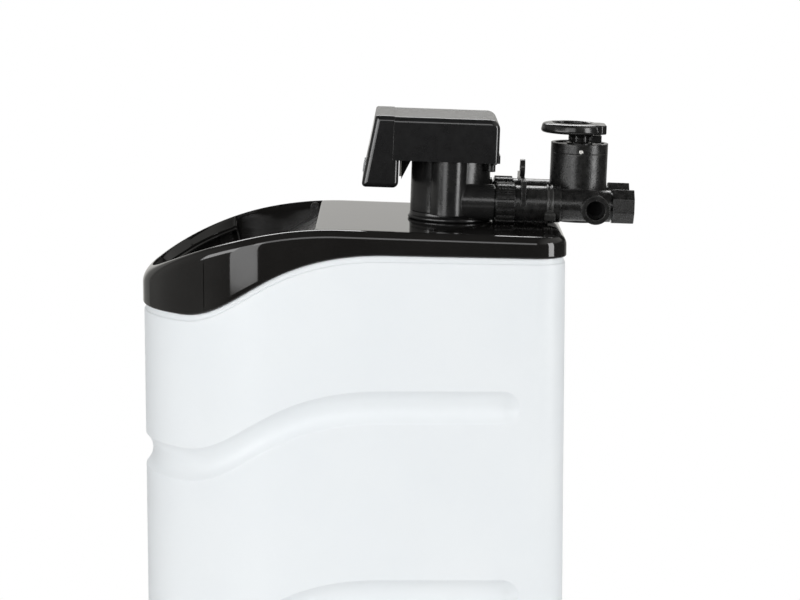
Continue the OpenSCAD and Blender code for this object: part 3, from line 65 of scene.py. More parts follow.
# The frame of what stands on the leaning deck
DECK_FRAME = Matrix.Translation((0, TANK_Y * MM, DECK_Z * MM)) @ Matrix.Rotation(-LEAN, 4, "X")


def deck_at(y):
    """Height of the deck's plane."""
    return DECK_Z + (TANK_Y - y) * math.tan(LEAN)


ARC_CY = ARC_Y - ARC_R * math.sin(LEAN)
ARC_CZ = deck_at(ARC_Y) - ARC_R * math.cos(LEAN)


def top_at(y):
    """Height of the cover's top: the deck, and an arc from there down to the nose."""
    if y > ARC_Y:
        return deck_at(y)
    return ARC_CZ + math.sqrt(ARC_R * ARC_R - (y - ARC_CY) ** 2)


def bezier(a, b, c, d, t):
    """A cubic curve from a to d."""
    return (1 - t) ** 3 * a + 3 * t * (1 - t) ** 2 * b + 3 * t ** 2 * (1 - t) * c + t ** 3 * d


# The wave of the cover's lower rim, which the grooves repeat
WAVE_T = np.linspace(0, 1, 200)
WAVE_Y = bezier(WAVE_START, WAVE_LEAVE, WAVE_ARRIVE, WAVE_END, WAVE_T)
WAVE_Z = bezier(-WAVE_DROP, -WAVE_DROP, 0, 0, WAVE_T)
RIM_Z = deck_at(WAVE_END) - SKIRT_H


def groove_line(y):
    """The grooves' wave, which is level behind its end."""
    return float(np.interp(min(y, WAVE_END), WAVE_Y, WAVE_Z))


def wave(y):
    """The rim's wave, which falls a little towards the back."""
    if y > WAVE_END:
        return -(y - WAVE_END) * math.tan(REAR_SLOPE)
    return groove_line(y)


def link_object(name, data):
    obj = bpy.data.objects.new(name, data)
    scene.collection.objects.link(obj)
    return obj


# Camera at the photograph's angle
CAMERA_PLACE, CAMERA_DOWN = (3.4206, 0.060, 1.3636), 8.75
CAMERA_LENS, CAMERA_SENSOR = 124.74, 36

camera = bpy.data.cameras.new("camera")
camera.lens = CAMERA_LENS
camera.sensor_width = CAMERA_SENSOR
camera_object = link_object("camera", camera)
camera_object.location = CAMERA_PLACE
camera_object.rotation_euler = (math.radians(90 - CAMERA_DOWN), 0, math.radians(90))
scene.camera = camera_object
scene.view_settings.view_transform = "Standard"

# Materials
MATERIALS = {}
EDGE_SAMPLES = 6


def set_inputs(node, values):
    for key, value in values.items():
        node.inputs[key.replace("_", " ")].default_value = value


class Nodes:
    """A node tree, with short ways to add and join its nodes."""

    def __init__(self, owner):
        owner.use_nodes = True
        self.tree = owner.node_tree
        self.tree.nodes.clear()

    def add(self, kind, **values):
        node = self.tree.nodes.new(kind)
        set_inputs(node, values)
        return node

    def link(self, output, socket):
        self.tree.links.new(output, socket)

    def ranged(self, value, low, high, from_low=0.3, from_high=0.7):
        """Maps a value to the range from low to high, and keeps it there."""
        node = self.add("ShaderNodeMapRange", From_Min=from_low, From_Max=from_high, To_Min=low, To_Max=high)
        self.link(value, node.inputs["Value"])
        return node.outputs["Result"]

    def math(self, kind, a, b):
        node = self.add("ShaderNodeMath")
        node.operation = kind
        self.link(a, node.inputs[0])
        self.link(b, node.inputs[1])
        return node.outputs[0]

    def length(self, vector):
        node = self.add("ShaderNodeVectorMath")
        node.operation = "LENGTH"
        self.link(vector, node.inputs[0])
        return node.outputs["Value"]

    def blended(self, factor, a, b):
        """Mixes two shaders."""
        node = self.add("ShaderNodeMixShader")
        for output, socket in zip((factor, a, b), node.inputs):
            self.link(output, socket)
        return node.outputs[0]


class Shade(Nodes):
    """A material round one Principled shader."""

    def __init__(self, name):
        MATERIALS[name] = bpy.data.materials.new(name)
        super().__init__(MATERIALS[name])
        self.out = self.add("ShaderNodeOutputMaterial")
        self.shader = self.add("ShaderNodeBsdfPrincipled")
        self.link(self.shader.outputs[0], self.out.inputs[0])
        self.coord = self.add("ShaderNodeTexCoord").outputs["Object"]
        self.normal = None

    def set(self, **values):
        set_inputs(self.shader, values)

    def soft_edges(self, radius):
        """Shades edges and inner corners as if they were rounded."""
        node = self.add("ShaderNodeBevel", Radius=radius)
        node.samples = EDGE_SAMPLES
        self.normal = node.outputs["Normal"]
        self.link(self.normal, self.shader.inputs["Normal"])

    def stretched(self, scale=(1, 1, 1), turn=(0, 0, 0)):
        node = self.add("ShaderNodeMapping", Scale=scale, Rotation=turn)
        self.link(self.coord, node.inputs["Vector"])
        return node.outputs["Vector"]

    def noise(self, scale, detail=3.0, rough=0.55, vector=None):
        node = self.add("ShaderNodeTexNoise", Scale=scale, Detail=detail, Roughness=rough)
        self.link(vector or self.coord, node.inputs["Vector"])
        return node.outputs["Fac"]

    def cells(self, scale, output="Distance"):
        node = self.add("ShaderNodeTexVoronoi", Scale=scale)
        self.link(self.coord, node.inputs["Vector"])
        return node.outputs[output]

    def mixed(self, factor, a, b):
        """Mixes two colours, each a value or an output."""
        node = self.add("ShaderNodeMix")
        node.data_type = "RGBA"
        self.link(factor, node.inputs[0])
        for socket, colour in ((node.inputs[6], a), (node.inputs[7], b)):
            if isinstance(colour, tuple):
                socket.default_value = (*colour, 1)
            else:
                self.link(colour, socket)
        return node.outputs[2]

    def colour(self, value):
        self.link(value, self.shader.inputs["Base Color"])

    def rough(self, value):
        self.link(value, self.shader.inputs["Roughness"])

    def bump(self, *layers):
        """Each layer is (height, strength, distance in metres)."""
        last = self.normal
        for height, strength, distance in layers:
            node = self.add("ShaderNodeBump", Strength=strength, Distance=distance)
            self.link(height, node.inputs["Height"])
            if last:
                self.link(last, node.inputs["Normal"])
            last = node.outputs["Normal"]
        self.link(last, self.shader.inputs["Normal"])


def plastic(name, dark, light, tone_scale, rough, rough_scale, grain=None, swell=None, edge=None, **values):
    """Moulded plastic: a slow change of tone, patches of gloss and a moulded grain.

    Grain and swell are each (scale, strength, distance in metres)."""
    s = Shade(name)
    s.colour(s.mixed(s.ranged(s.noise(tone_scale, 4), 0, 1), dark, light))
    s.rough(s.ranged(s.noise(rough_scale, 5, 0.6), *rough))
    if edge:
        s.soft_edges(edge)
    layers = []
    if swell:
        layers.append((s.noise(swell[0], 2), *swell[1:]))
    if grain:
        layers.append((s.noise(grain[0], 2, 0.6), *grain[1:]))
    s.bump(*layers)
    s.set(**values)
    return s


def nylon(name):
    return plastic(name, (0.004, 0.004, 0.004), (0.016, 0.0157, 0.0152), 130, (0.20, 0.35), 170,
                   grain=(700, 0.25, 0.0004), swell=(90, 0.15, 0.0006), edge=0.0016, IOR=1.5)


def nylon_with_painted_port_shade(name):
    """The same nylon, with painted shade inside the bypass body's side ports: nearly black and dull there."""
    bore, rim = 0.01145, 0.01185
    along_ports = (1000, 1, 1)
    s = nylon(name)
    tone = s.shader.inputs["Base Color"].links[0].from_socket
    gloss = s.shader.inputs["Roughness"].links[0].from_socket
    place = DECK_FRAME @ (Vector((0, SIDE_Y, PORT_Z - SIDE_DROP)) * MM)
    centre = s.add("ShaderNodeMapping")
    centre.vector_type = "TEXTURE"
    set_inputs(centre, {"Location": place, "Scale": along_ports})
    s.link(s.coord, centre.inputs["Vector"])
    # Painted shade: within the bore's radius round the side ports' axis, the colour goes nearly black and the
    # roughness goes up to 0.9, standing in for the shade deep in the ports
    outside = s.ranged(s.length(centre.outputs["Vector"]), 0, 1, bore, rim)
    s.colour(s.mixed(outside, (0.0012, 0.0012, 0.0012), tone))
    s.rough(s.math("MAXIMUM", gloss, s.ranged(outside, 0.9, 0.0, 0.0, 1.0)))


def metal(name, dark, light, rough, scale, stretch, relief, metallic):
    """Brushed or oiled steel."""
    s = Shade(name)
    grain = s.noise(scale, 4, 0.6, s.stretched(stretch))
    s.colour(s.mixed(s.ranged(grain, 0, 1), dark, light))
    s.rough(s.ranged(grain, *rough))
    s.bump((grain, relief, 0.0002))
    s.set(Metallic=metallic)


def wound_tank(name):
    """Blue glass fibre, wound in two crossing layers."""
    s = Shade(name)
    layers = []
    for slant in (0.5, -0.5):
        node = s.add("ShaderNodeTexWave", Scale=38, Distortion=2.5, Detail=2)
        node.wave_type, node.bands_direction = "BANDS", "Z"
        s.link(s.stretched(turn=(slant, 0, 0)), node.inputs["Vector"])
        layers.append(node.outputs["Fac"])
    winding = s.math("MAXIMUM", *layers)
    s.colour(s.mixed(s.ranged(winding, 0, 1, 0.2, 1), (0.03, 0.075, 0.125), (0.06, 0.13, 0.20)))
    s.rough(s.ranged(s.noise(60, 4), 0.28, 0.42))
    s.bump((winding, 0.25, 0.0006))
    s.set(Coat_Weight=0.3, Coat_Roughness=0.15)


def resin(name):
    """Amber beads."""
    bead_scale = 900
    s = Shade(name)
    tone = s.ranged(s.cells(bead_scale, "Color"), 0, 1, 0.1, 0.9)
    bead = s.cells(bead_scale)
    s.colour(s.mixed(tone, (0.36, 0.18, 0.04), (0.56, 0.32, 0.10)))
    s.rough(s.ranged(bead, 0.25, 0.5, 0, 0.8))
    s.bump((bead, 0.8, 0.0006))


def board(name):
    """A green circuit board with paler tracks."""
    s = Shade(name)
    track = s.add("ShaderNodeTexBrick", Scale=120, Mortar_Size=0.012, Color1=(0.020, 0.085, 0.035, 1),
                  Color2=(0.026, 0.105, 0.045, 1), Mortar=(0.06, 0.20, 0.09, 1))
    s.link(s.stretched(turn=(1.4, 0, 0)), track.inputs["Vector"])
    s.colour(track.outputs["Color"])
    s.rough(s.ranged(s.noise(200), 0.28, 0.42))
    s.bump((track.outputs["Fac"], 0.2, 0.0002))


plastic("shell_white", (0.79, 0.825, 0.85), (0.815, 0.845, 0.865), 6, (0.36, 0.46), 30,
        grain=(900, 0.10, 0.0003), swell=(14, 0.05, 0.002), IOR=1.46)
plastic("gloss_black", (0.0085, 0.0080, 0.0076), (0.0115, 0.0110, 0.0105), 20, (0.05, 0.08), 45,
        grain=(900, 0.015, 0.0002), IOR=1.5)
plastic("lid_black", (0.0085, 0.0080, 0.0074), (0.0120, 0.0112, 0.0102), 20, (0.24, 0.32), 45,
        grain=(900, 0.05, 0.0002), edge=0.001, IOR=1.5)
plastic("satin_black", (0.010, 0.010, 0.0102), (0.017, 0.0168, 0.0165), 60, (0.17, 0.25), 90,
        grain=(1500, 0.14, 0.0003), edge=0.0012, IOR=1.5)
plastic("head_black", (0.0055, 0.0055, 0.0058), (0.0105, 0.0105, 0.0108), 90, (0.52, 0.62), 120,
        grain=(1300, 0.35, 0.0004), IOR=1.5, Specular_IOR_Level=0.1, Coat_Weight=0.5, Coat_Roughness=0.11,
        Coat_IOR=1.8)
plastic("knob_black", (0.008, 0.008, 0.008), (0.014, 0.0138, 0.0135), 60, (0.14, 0.22), 90,
        grain=(900, 0.06, 0.0003), edge=0.001, IOR=1.5)
plastic("tie_black", (0.022, 0.022, 0.0215), (0.038, 0.0375, 0.0365), 80, (0.20, 0.30), 120,
        grain=(900, 0.10, 0.0003), IOR=1.5)
plastic("pale_plastic", (0.62, 0.60, 0.54), (0.70, 0.68, 0.62), 40, (0.40, 0.52), 60,
        grain=(900, 0.10, 0.0003), IOR=1.48)
plastic("natural_plastic", (0.70, 0.69, 0.64), (0.78, 0.77, 0.72), 25, (0.38, 0.50), 50,
        grain=(800, 0.12, 0.0003), IOR=1.48)
plastic("seal_rubber", (0.012, 0.012, 0.012), (0.022, 0.021, 0.020), 80, (0.6, 0.75), 140,
        grain=(1200, 0.2, 0.0003))
plastic("key_grey", (0.28, 0.29, 0.30), (0.34, 0.35, 0.36), 120, (0.5, 0.6), 160,
        grain=(1400, 0.2, 0.0003))
plastic("smoke_window", (0.010, 0.013, 0.016), (0.016, 0.020, 0.024), 30, (0.04, 0.09), 60,
        swell=(30, 0.02, 0.001), IOR=1.49, Coat_Weight=0.6, Coat_Roughness=0.03)
plastic("pin_steel", (0.86, 0.85, 0.82), (0.92, 0.91, 0.88), 300, (0.42, 0.55), 400,
        grain=(1500, 0.10, 0.0002), Metallic=1.0)
nylon("nylon_black")
nylon_with_painted_port_shade("port_painted_shade")
metal("steel", (0.50, 0.51, 0.52), (0.68, 0.69, 0.70), (0.2, 0.36), 500, (1, 1, 12), 0.12, 1.0)
metal("dark_steel", (0.035, 0.035, 0.036), (0.06, 0.06, 0.062), (0.22, 0.34), 400, (1, 1, 1), 0.08, 0.9)
wound_tank("tank_blue")
resin("resin_beads")
board("board_green")

# Pieces
REPLACED = set()


def add_piece(name, mesh, material, replaced, body="softener"):
    """Makes a mesh a piece that rides on a body and, if it says so, stands for a CAD node."""
    obj = link_object(name, mesh)
    mesh.materials.append(MATERIALS[material])
    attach(obj, body)
    if replaced:
        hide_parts(replaced)
        REPLACED.add(replaced)
    return obj


def smooth_piece(name, verts, faces, material, replaced):
    mesh = bpy.data.meshes.new(name)
    mesh.from_pydata(verts, [], faces)
    mesh.validate()
    for p in mesh.polygons:
        p.use_smooth = True
    return add_piece(name, mesh, material, replaced)


def thicken(obj, wall):
    shell = obj.modifiers.new("shell", "SOLIDIFY")
    shell.thickness = wall * MM
    shell.offset = -1


def ring_faces(a, b, n):
    return [(a + i, a + (i + 1) % n, b + (i + 1) % n, b + i) for i in range(n)]


def bridge(a, b):
    """Faces between two lines of points."""
    return [(a[k], b[k], b[k + 1], a[k + 1]) for k in range(len(a) - 1)]


# The plan of the cabinet and its cover
Column = namedtuple("Column", "cx cy nx ny r")
NOSE_MID = NOSE_Y + HALF_W
CORNER_X, CORNER_Y = HALF_W - CORNER_R, BACK_Y - CORNER_R
# Columns along a side, closer together where the forms change: from, to and step
SIDE_RUNS = ((NOSE_MID, -44, 4), (-44, -38, 2), (-37, -30, 4), (-28, 160, 4),
             (160, 176, 2), (176, 206, 1), (206, CORNER_Y, 5))
CORNER_STEP, NOSE_STEP, ACROSS = 5.0, 1.5, 28
# Places on the nose, in degrees
COVER_SEAMS, SEAM_GUARDS = (207.9, 332.1), (-0.30, -0.18, 0.0, 0.18, 0.30)
LIP_ENDS, LEAST_TURN = (195.4, 201.6, 0.4), 0.12


def columns(fine):
    """The plan's outline, counter-clockwise from the near side, as centres, normals and radii.

    The fine outline has columns for the seams and, closer together, for the ends of the nose's lip."""
    sides = [y for run in SIDE_RUNS for y in np.arange(*run, dtype=float)]
    corner = [math.radians(a) for a in np.arange(0, 90, CORNER_STEP)]
    back = np.linspace(CORNER_X, -CORNER_X, ACROSS + 1)[:-1]
    nose = list(np.arange(180, 360, NOSE_STEP))
    if fine:
        nose += [a + d for a in COVER_SEAMS for d in SEAM_GUARDS]
        closer = [t for a in np.arange(*LIP_ENDS) for t in (a, 540 - a)]
        nose = sorted(nose + [t for t in closer if min(abs(t - a) for a in nose) > LEAST_TURN])
    out = [Column(0.0, y, 1.0, 0.0, HALF_W) for y in sides]
    out += [Column(CORNER_X, CORNER_Y, math.cos(a), math.sin(a), CORNER_R) for a in corner]
    out += [Column(x, CORNER_Y, 0.0, 1.0, CORNER_R) for x in back]
    out += [Column(-CORNER_X, CORNER_Y, -math.sin(a), math.cos(a), CORNER_R) for a in corner]
    out += [Column(0.0, y, -1.0, 0.0, HALF_W) for y in [CORNER_Y] + sides[:0:-1]]
    out += [Column(0.0, NOSE_MID, math.cos(a), math.sin(a), HALF_W) for a in np.radians(nose)]
    return out


def at(col, inset):
    return col.cx + col.nx * (col.r - inset), col.cy + col.ny * (col.r - inset)


def on_seam(col):
    seams = [math.radians(a) for a in COVER_SEAMS]
    return any(abs(col.nx - math.cos(a)) < 1e-6 and abs(col.ny - math.sin(a)) < 1e-6 for a in seams)


# The cabinet's wall, in millimetres
SHELL_INSET, SHELL_WALL, WAVE_BLEND = 1.5, 4.0, 60.0
BASE_Z, BASE_R, INSIDE_Z, INSIDE_INSET = 6.0, 5.0, 5.0, 5.6
GROOVE_R = (GROOVE_HALF ** 2 + GROOVE_DEPTH ** 2) / (2 * GROOVE_DEPTH)
GROOVE_SOFT, GROOVE_REACH = 0.55, 8.0
# Rim and shoulder under the cover: drop below the rim's wave and inset
SHOULDER = ((-6.0, 5.5), (-1.0, 4.4), (2.0, 3.8), (5.6, 3.5), (6.8, 3.45), (7.3, 3.3), (7.6, 2.7),
            (8.0, 2.1), (8.5, 1.72), (9.3, 1.55), (11.0, SHELL_INSET), (14.0, SHELL_INSET))
# Rows on each side of a groove's middle, closest at its edge
GROOVE_ROWS = (0, 2.5, 5, 7.5, 10, 12, 14, 15.5, 16.8, 17.8, 18.6, 19.2, 19.7, 20.1, 20.6, 21.2, 22, 23.2, 25)
BASE_SHARES = (0.08, 0.2, 0.35, 0.5, 0.65, 0.8, 0.9)
BASE_TURNS = (0, 20, 40, 60, 75, 90)


def groove_depth(y, h):
    """Depth of the grooves at a drop h below the wave: a round trough with softened edges."""
    i = min(GROOVE_COUNT - 1, max(0, round((h - GROOVE_FIRST) / GROOVE_PITCH)))
    off = abs(h - GROOVE_FIRST - i * GROOVE_PITCH)
    if y > GROOVE_END:
        off = math.hypot(off, y - GROOVE_END)
    if off >= GROOVE_R:
        return 0.0
    trough = math.sqrt(GROOVE_R ** 2 - off ** 2) - (GROOVE_R - GROOVE_DEPTH)
    if trough <= -GROOVE_REACH:
        return 0.0
    return 0.5 * (trough + math.sqrt(trough * trough + GROOVE_SOFT * GROOVE_SOFT))


def shell_rows():
    """Rows of the wall from its rim down: drop, inset and share of the way from there to the base."""
    drops = list(np.arange(24, 160, 10.0))
    for i in range(GROOVE_COUNT):
        mid = GROOVE_FIRST + i * GROOVE_PITCH
        drops += [mid - d for d in GROOVE_ROWS[:0:-1]] + [mid + d for d in GROOVE_ROWS]
        if i < GROOVE_COUNT - 1:
            drops += list(np.arange(mid + 34, mid + GROOVE_PITCH - 30, 12.0))
    rows = [(h, inset, 0.0) for h, inset in SHOULDER] + [(h, SHELL_INSET, 0.0) for h in drops]
    return rows + [(drops[-1], SHELL_INSET, share) for share in BASE_SHARES]


def cabinet():
    outline = columns(False)
    n = len(outline)
    rows = shell_rows()
    # The inside has fewer rows than the outside
    inner = [r for i, r in enumerate(rows) if i in (0, 4, 10) or (r[0] > 14 and (i % 3 == 0 or r[2] > 0))]
    verts, faces = [], []

    def wall_ring(h, inset, share, wall):
        blend = min(1.0, max(0.0, h / WAVE_BLEND))
        for col in outline:
            y = at(col, inset)[1]
            line = wave(y) * (1 - blend) + groove_line(y) * blend
            z = (RIM_Z + line - h) * (1 - share) + BASE_Z * share
            x, y_in = at(col, inset + groove_depth(y, h) + wall)
            verts.append((x * MM, y_in * MM, z * MM))

    def level_ring(inset, z):
        for col in outline:
            x, y = at(col, inset)
            verts.append((x * MM, y * MM, z * MM))

    for row in rows:
        wall_ring(*row, 0.0)
    for a in BASE_TURNS:
        turn = math.radians(a)
        z = BASE_Z - BASE_R * math.sin(turn) if a < 90 else 0.0
        level_ring(SHELL_INSET + BASE_R * (1 - math.cos(turn)), z)
    count = len(rows) + len(BASE_TURNS)
    for j in range(count - 1):
        faces += [f[::-1] for f in ring_faces(j * n, (j + 1) * n, n)]
    faces.append(tuple(range((count - 1) * n, count * n))[::-1])
    start = len(verts)
    for row in inner:
        wall_ring(*row, SHELL_WALL)
    level_ring(INSIDE_INSET, INSIDE_Z)
    for j in range(len(inner)):
        faces += ring_faces(start + j * n, start + (j + 1) * n, n)
    end = start + len(inner) * n
    faces.append(tuple(range(end, end + n)))
    faces += ring_faces(0, start, n)
    smooth_piece("cabinet_shell", verts, faces, "shell_white", "cabinet")


# The cover's edges and the salt opening, in millimetres
FILLET, FILLET_NOSE, FILLET_TALL = 9.2, 1.6, 1.22
RIM_R, RIM_FOLD, SEAM_DEPTH, COVER_WALL = 2.2, 3.0, 1.8, 2.4
OPEN_EDGE, DECK_EDGE, DECK_EDGE_HALF = 0.8, 2.0, OPEN_HALF + 0.6
LIP_Y, LIP_RUN, LIP_TAPER, LIP_DEPTH, WELL_DEPTH = -154.0, 9.0, 7.0, 14.0, 45.3
DECK_FRONT = OPEN_Y + DECK_EDGE


def cover_fillet(col):
    """The rounding of the cover's upper edge, which grows towards the tip of the nose."""
    return FILLET + FILLET_NOSE * min(col.ny, 0.0) ** 2


def rim_point(col, inset, rise):
    x, y = at(col, inset)
    return x, y, RIM_Z + wave(at(col, 0)[1]) + rise


def skirt_point(col, share):
    x, y = at(col, SEAM_DEPTH if share < 1 and on_seam(col) else 0.0)
    edge_y = at(col, 0)[1]
    low = RIM_Z + wave(edge_y) + RIM_R
    high = top_at(edge_y) - FILLET_TALL * cover_fillet(col)
    return x, y, low * (1 - share) + high * share


def fillet_point(col, turn):
    fillet = cover_fillet(col)
    x, y = at(col, fillet * (1 - math.cos(turn)))
    return x, y, top_at(y) - FILLET_TALL * fillet * (1 - math.sin(turn))


def cover_outside(cols):
    """Rows of the cover's outside: the folded rim and its rounding, the skirt and the upper edge."""
    rows = [[rim_point(c, RIM_FOLD, rise) for c in cols] for rise in (3.0, 0.4)]
    for turn in np.radians((10, 30, 50, 70, 90)):
        inset, rise = RIM_R * (1 - math.sin(turn)), RIM_R * (1 - math.cos(turn))
        rows.append([rim_point(c, inset, rise) for c in cols])
    rows += [[skirt_point(c, share) for c in cols] for share in (0.1, 0.3, 0.5, 0.7, 0.9, 1.0)]
    rows += [[fillet_point(c, a) for c in cols] for a in np.radians((12, 24, 36, 48, 60, 72, 82, 90))]
    return rows


def opening_at(col, grow):
    """The point of the salt opening's outline that lies beside a column."""
    half = OPEN_HALF + grow
    if col.ny < 0 or col.cy <= NOSE_MID:
        return col.nx * half, OPEN_NOSE + col.ny * half
    along = (col.cy - NOSE_MID) * (OPEN_Y - OPEN_NOSE) / (DECK_FRONT - NOSE_MID)
    return col.nx * half, OPEN_NOSE + along


def past_lip(y):
    """From 0 at the tip of the nose, where the opening's wall is a low lip, to 1 behind it."""
    t = min(1.0, max(0.0, (y - LIP_Y) / LIP_RUN))
    return t * t * (3 - 2 * t)


def opening_depth(y):
    return LIP_DEPTH + (WELL_DEPTH - LIP_DEPTH) * past_lip(y)


def band_point(col):
    (fx, fy), (ex, ey) = at(col, cover_fillet(col)), opening_at(col, OPEN_EDGE)
    x, y = (fx + ex) / 2, (fy + ey) / 2
    return x, y, top_at(y)


def edge_point(col, turn):
    x, y = opening_at(col, OPEN_EDGE * (1 - math.sin(turn)))
    return x, y, top_at(y) - OPEN_EDGE * (1 - math.cos(turn))


def wall_point(col, share):
    edge_y = opening_at(col, 0)[1]
    x, y = opening_at(col, -LIP_TAPER * share * (1 - past_lip(edge_y)))
    return x, y, top_at(edge_y) - OPEN_EDGE - (opening_depth(edge_y) - OPEN_EDGE) * share


def ledge_point(col, reach, drop):
    edge_y = opening_at(col, 0)[1]
    x, y = opening_at(col, -reach)
    return x, y, top_at(edge_y) - opening_depth(edge_y) - drop


def opening_inside(cols):
    """Rows from the cover's upper edge into the salt opening: band, rounded edge, wall and ledge."""
    rows = [[band_point(c) for c in cols]]
    rows += [[edge_point(c, a) for c in cols] for a in np.radians((0, 22.5, 45, 67.5, 90))]
    rows += [[wall_point(c, share) for c in cols] for share in (0.25, 0.5, 0.75, 0.96)]
    return rows + [[ledge_point(c, *ledge) for c in cols] for ledge in ((1.5, 0), (8.5, 0), (8.5, 3))]


def cover():
    cols = columns(True)
    n = len(cols)
    verts, faces = [], []

    def add(point):
        verts.append(tuple(c * MM for c in point))
        return len(verts) - 1

    rows = [[add(p) for p in row] for row in cover_outside(cols)]
    for a, b in zip(rows, rows[1:]):
        faces += ring_faces(a[0], b[0], n)
    top = rows[-1]

    order = [i for i, c in enumerate(cols) if c.r == HALF_W and (c.ny < 0 or c.cy <= DECK_FRONT)]
    order.sort(key=lambda i: (i + n // 2) % n)
    strip = [[top[i] for i in order]]
    strip += [[add(p) for p in row] for row in opening_inside([cols[i] for i in order])]
    for a, b in zip(strip, strip[1:]):
        faces += [(a[i], a[i + 1], b[i + 1], b[i]) for i in range(len(a) - 1)]

    # The deck, in lines from the near side to the far one
    near = [i for i, c in enumerate(cols) if c.nx == 1.0 and c.cy >= DECK_FRONT and c.r == HALF_W]
    corner = [i for i, c in enumerate(cols) if c.cx > 0 and c.r == CORNER_R and c.nx > 0 and c.ny < 1.0]
    rear = [i for i, c in enumerate(cols) if c.r == CORNER_R and c.ny == 1.0]
    across = [1 - 2 * k / ACROSS for k in range(ACROSS + 1)]
    lines = []
    for i in near + corner:
        opposite = rear[-1] + rear[0] - i
        x, y = at(cols[i], cover_fillet(cols[i]))
        inside = [add((x * share, y, top_at(y))) for share in across[1:-1]]
        lines.append([top[i], *inside, top[opposite]])
    lines.append([top[i] for i in rear])
    for a, b in zip(lines, lines[1:]):
        faces += bridge(a, b)

    # The deck's rounded edge at the rear of the opening, and the wall below it
    previous = lines[0]
    for reach, drop in ((0.77, 0.15), (1.41, 0.59), (1.85, 1.23), (2.0, 2.0), (2.0, 10), (2.0, 26)):
        z = top_at(DECK_FRONT) - drop
        line = [add((DECK_EDGE_HALF * share, DECK_FRONT - reach, z)) for share in across]
        faces += bridge(line, previous)
        previous = line

    obj = smooth_piece("cover_shell", verts, faces, "gloss_black", "top_cover")
    beside = {i + d for i, c in enumerate(cols) if on_seam(c) for d in (-1, 0, 1)}
    for e in obj.data.edges:
        a, b = sorted(e.vertices)
        if b - a == n and a // n < len(rows) and a % n in beside:
            e.use_edge_sharp = True
    thicken(obj, COVER_WALL)


# Faces larger than this are shaded flat
FLAT_AREA = 900 * MM * MM


def bm_piece(name, bm, place, material, replaced, body="softener", wall=None):
    """Makes a bmesh in millimetres a piece."""
    bmesh.ops.recalc_face_normals(bm, faces=bm.faces)
    bm.transform(place @ Matrix.Scale(MM, 4))
    mesh = bpy.data.meshes.new(name)
    bm.to_mesh(mesh)
    bm.free()
    for p in mesh.polygons:
        p.use_smooth = p.area < FLAT_AREA
    obj = add_piece(name, mesh, material, replaced, body)
    if wall:
        thicken(obj, wall)
    obj.modifiers.new("normals", "WEIGHTED_NORMAL").keep_sharp = True


def merge(bm, other):
    """Adds a copy of another bmesh."""
    mesh = bpy.data.meshes.new("merged")
    other.to_mesh(mesh)
    bm.from_mesh(mesh)
    bpy.data.meshes.remove(mesh)


def bevel(bm, edges, radius, segments):
    bmesh.ops.bevel(bm, geom=edges, offset=radius, offset_type="OFFSET", segments=segments, profile=0.5,
                    affect="EDGES", clamp_overlap=True)


def skin(bm, rings):
    """Joins each ring of points to the next one."""
    n = len(rings[0])
    for a, b in zip(rings, rings[1:]):
        for k in range(n):
            bm.faces.new((a[k], a[(k + 1) % n], b[(k + 1) % n], b[k]))


def add_box(bm, low, high, radius, segments=3):
    """A rounded block between two corners."""
    made = bmesh.ops.create_cube(bm, size=1.0)["verts"]
    for v in made:
        v.co = Vector([lo + (c + 0.5) * (hi - lo) for c, lo, hi in zip(v.co, low, high)])
    bevel(bm, list({e for v in made for e in v.link_edges}), radius, segments)


def add_lathe(bm, profile, turns, axis="Z", centre=(0, 0, 0), close=True):
    """Turns a profile of (radius, height) round an axis; a closed profile makes a ring."""
    rings = []
    for r, h in profile:
        ring = []
        for k in range(turns):
            a = 2 * math.pi * k / turns
            c, d = r * math.cos(a), r * math.sin(a)
            ring.append(bm.verts.new(Vector(centre) + Vector((c, d, h) if axis == "Z" else (c, h, d))))
        rings.append(ring)
    skin(bm, rings + rings[:1] if close else rings)


def prism(outline, half):
    """An outline of the Y-Z plane, drawn out across the object."""
    bm = bmesh.new()
    left, right = ([bm.verts.new((x, y, z)) for y, z in outline] for x in (-half, half))
    bm.faces.new(left)
    bm.faces.new(right[::-1])
    skin(bm, [left, right])
    bmesh.ops.recalc_face_normals(bm, faces=bm.faces)
    return bm


# The head's rear cover
COVER_STEP, COVER_EDGE, HEAD_WALL = 0.8, 7.0, 2.5
STEP_H, STEP_OUT, STEP_IN = 10, 1.5, 1.2


def rear_cover():
    top = HEAD_TOP - COVER_STEP
    turns = np.radians(np.linspace(90, 0, 13))
    outline = [(-HEAD_SEAM, VALVE_H), (-HEAD_SEAM, top)]
    outline += [(HEAD_REAR - HEAD_R + HEAD_R * math.cos(a), top - HEAD_R + HEAD_R * math.sin(a)) for a in turns]
    outline += [(HEAD_REAR, VALVE_H)]
    bm = prism(outline, HEAD_HALF)

    def on_rounded_side(e):
        a, b = (v.co for v in e.verts)
        below, ahead = max(a.z, b.z) < VALVE_H + 0.01, max(a.y, b.y) < 0.01 - HEAD_SEAM
        return abs(a.x - b.x) < 1e-4 and not below and not ahead

    bevel(bm, [e for e in bm.edges if on_rounded_side(e)], COVER_EDGE, 8)
    bm.normal_update()
    opened = [f for f in bm.faces if f.normal.z < -0.99 or f.normal.y < -0.99]
    bmesh.ops.delete(bm, geom=opened, context="FACES")
    bm_piece("rear_cover_shell", bm, DECK_FRAME, "head_black", "rear_cover", wall=HEAD_WALL)
    bm = bmesh.new()
    low = (1 - HEAD_HALF, HEAD_REAR - STEP_IN, VALVE_H)
    high = (HEAD_HALF - 1, HEAD_REAR + STEP_OUT, VALVE_H + STEP_H)
    add_box(bm, low, high, 0.7)
    bm_piece("rear_cover_step", bm, DECK_FRAME, "head_black", None)


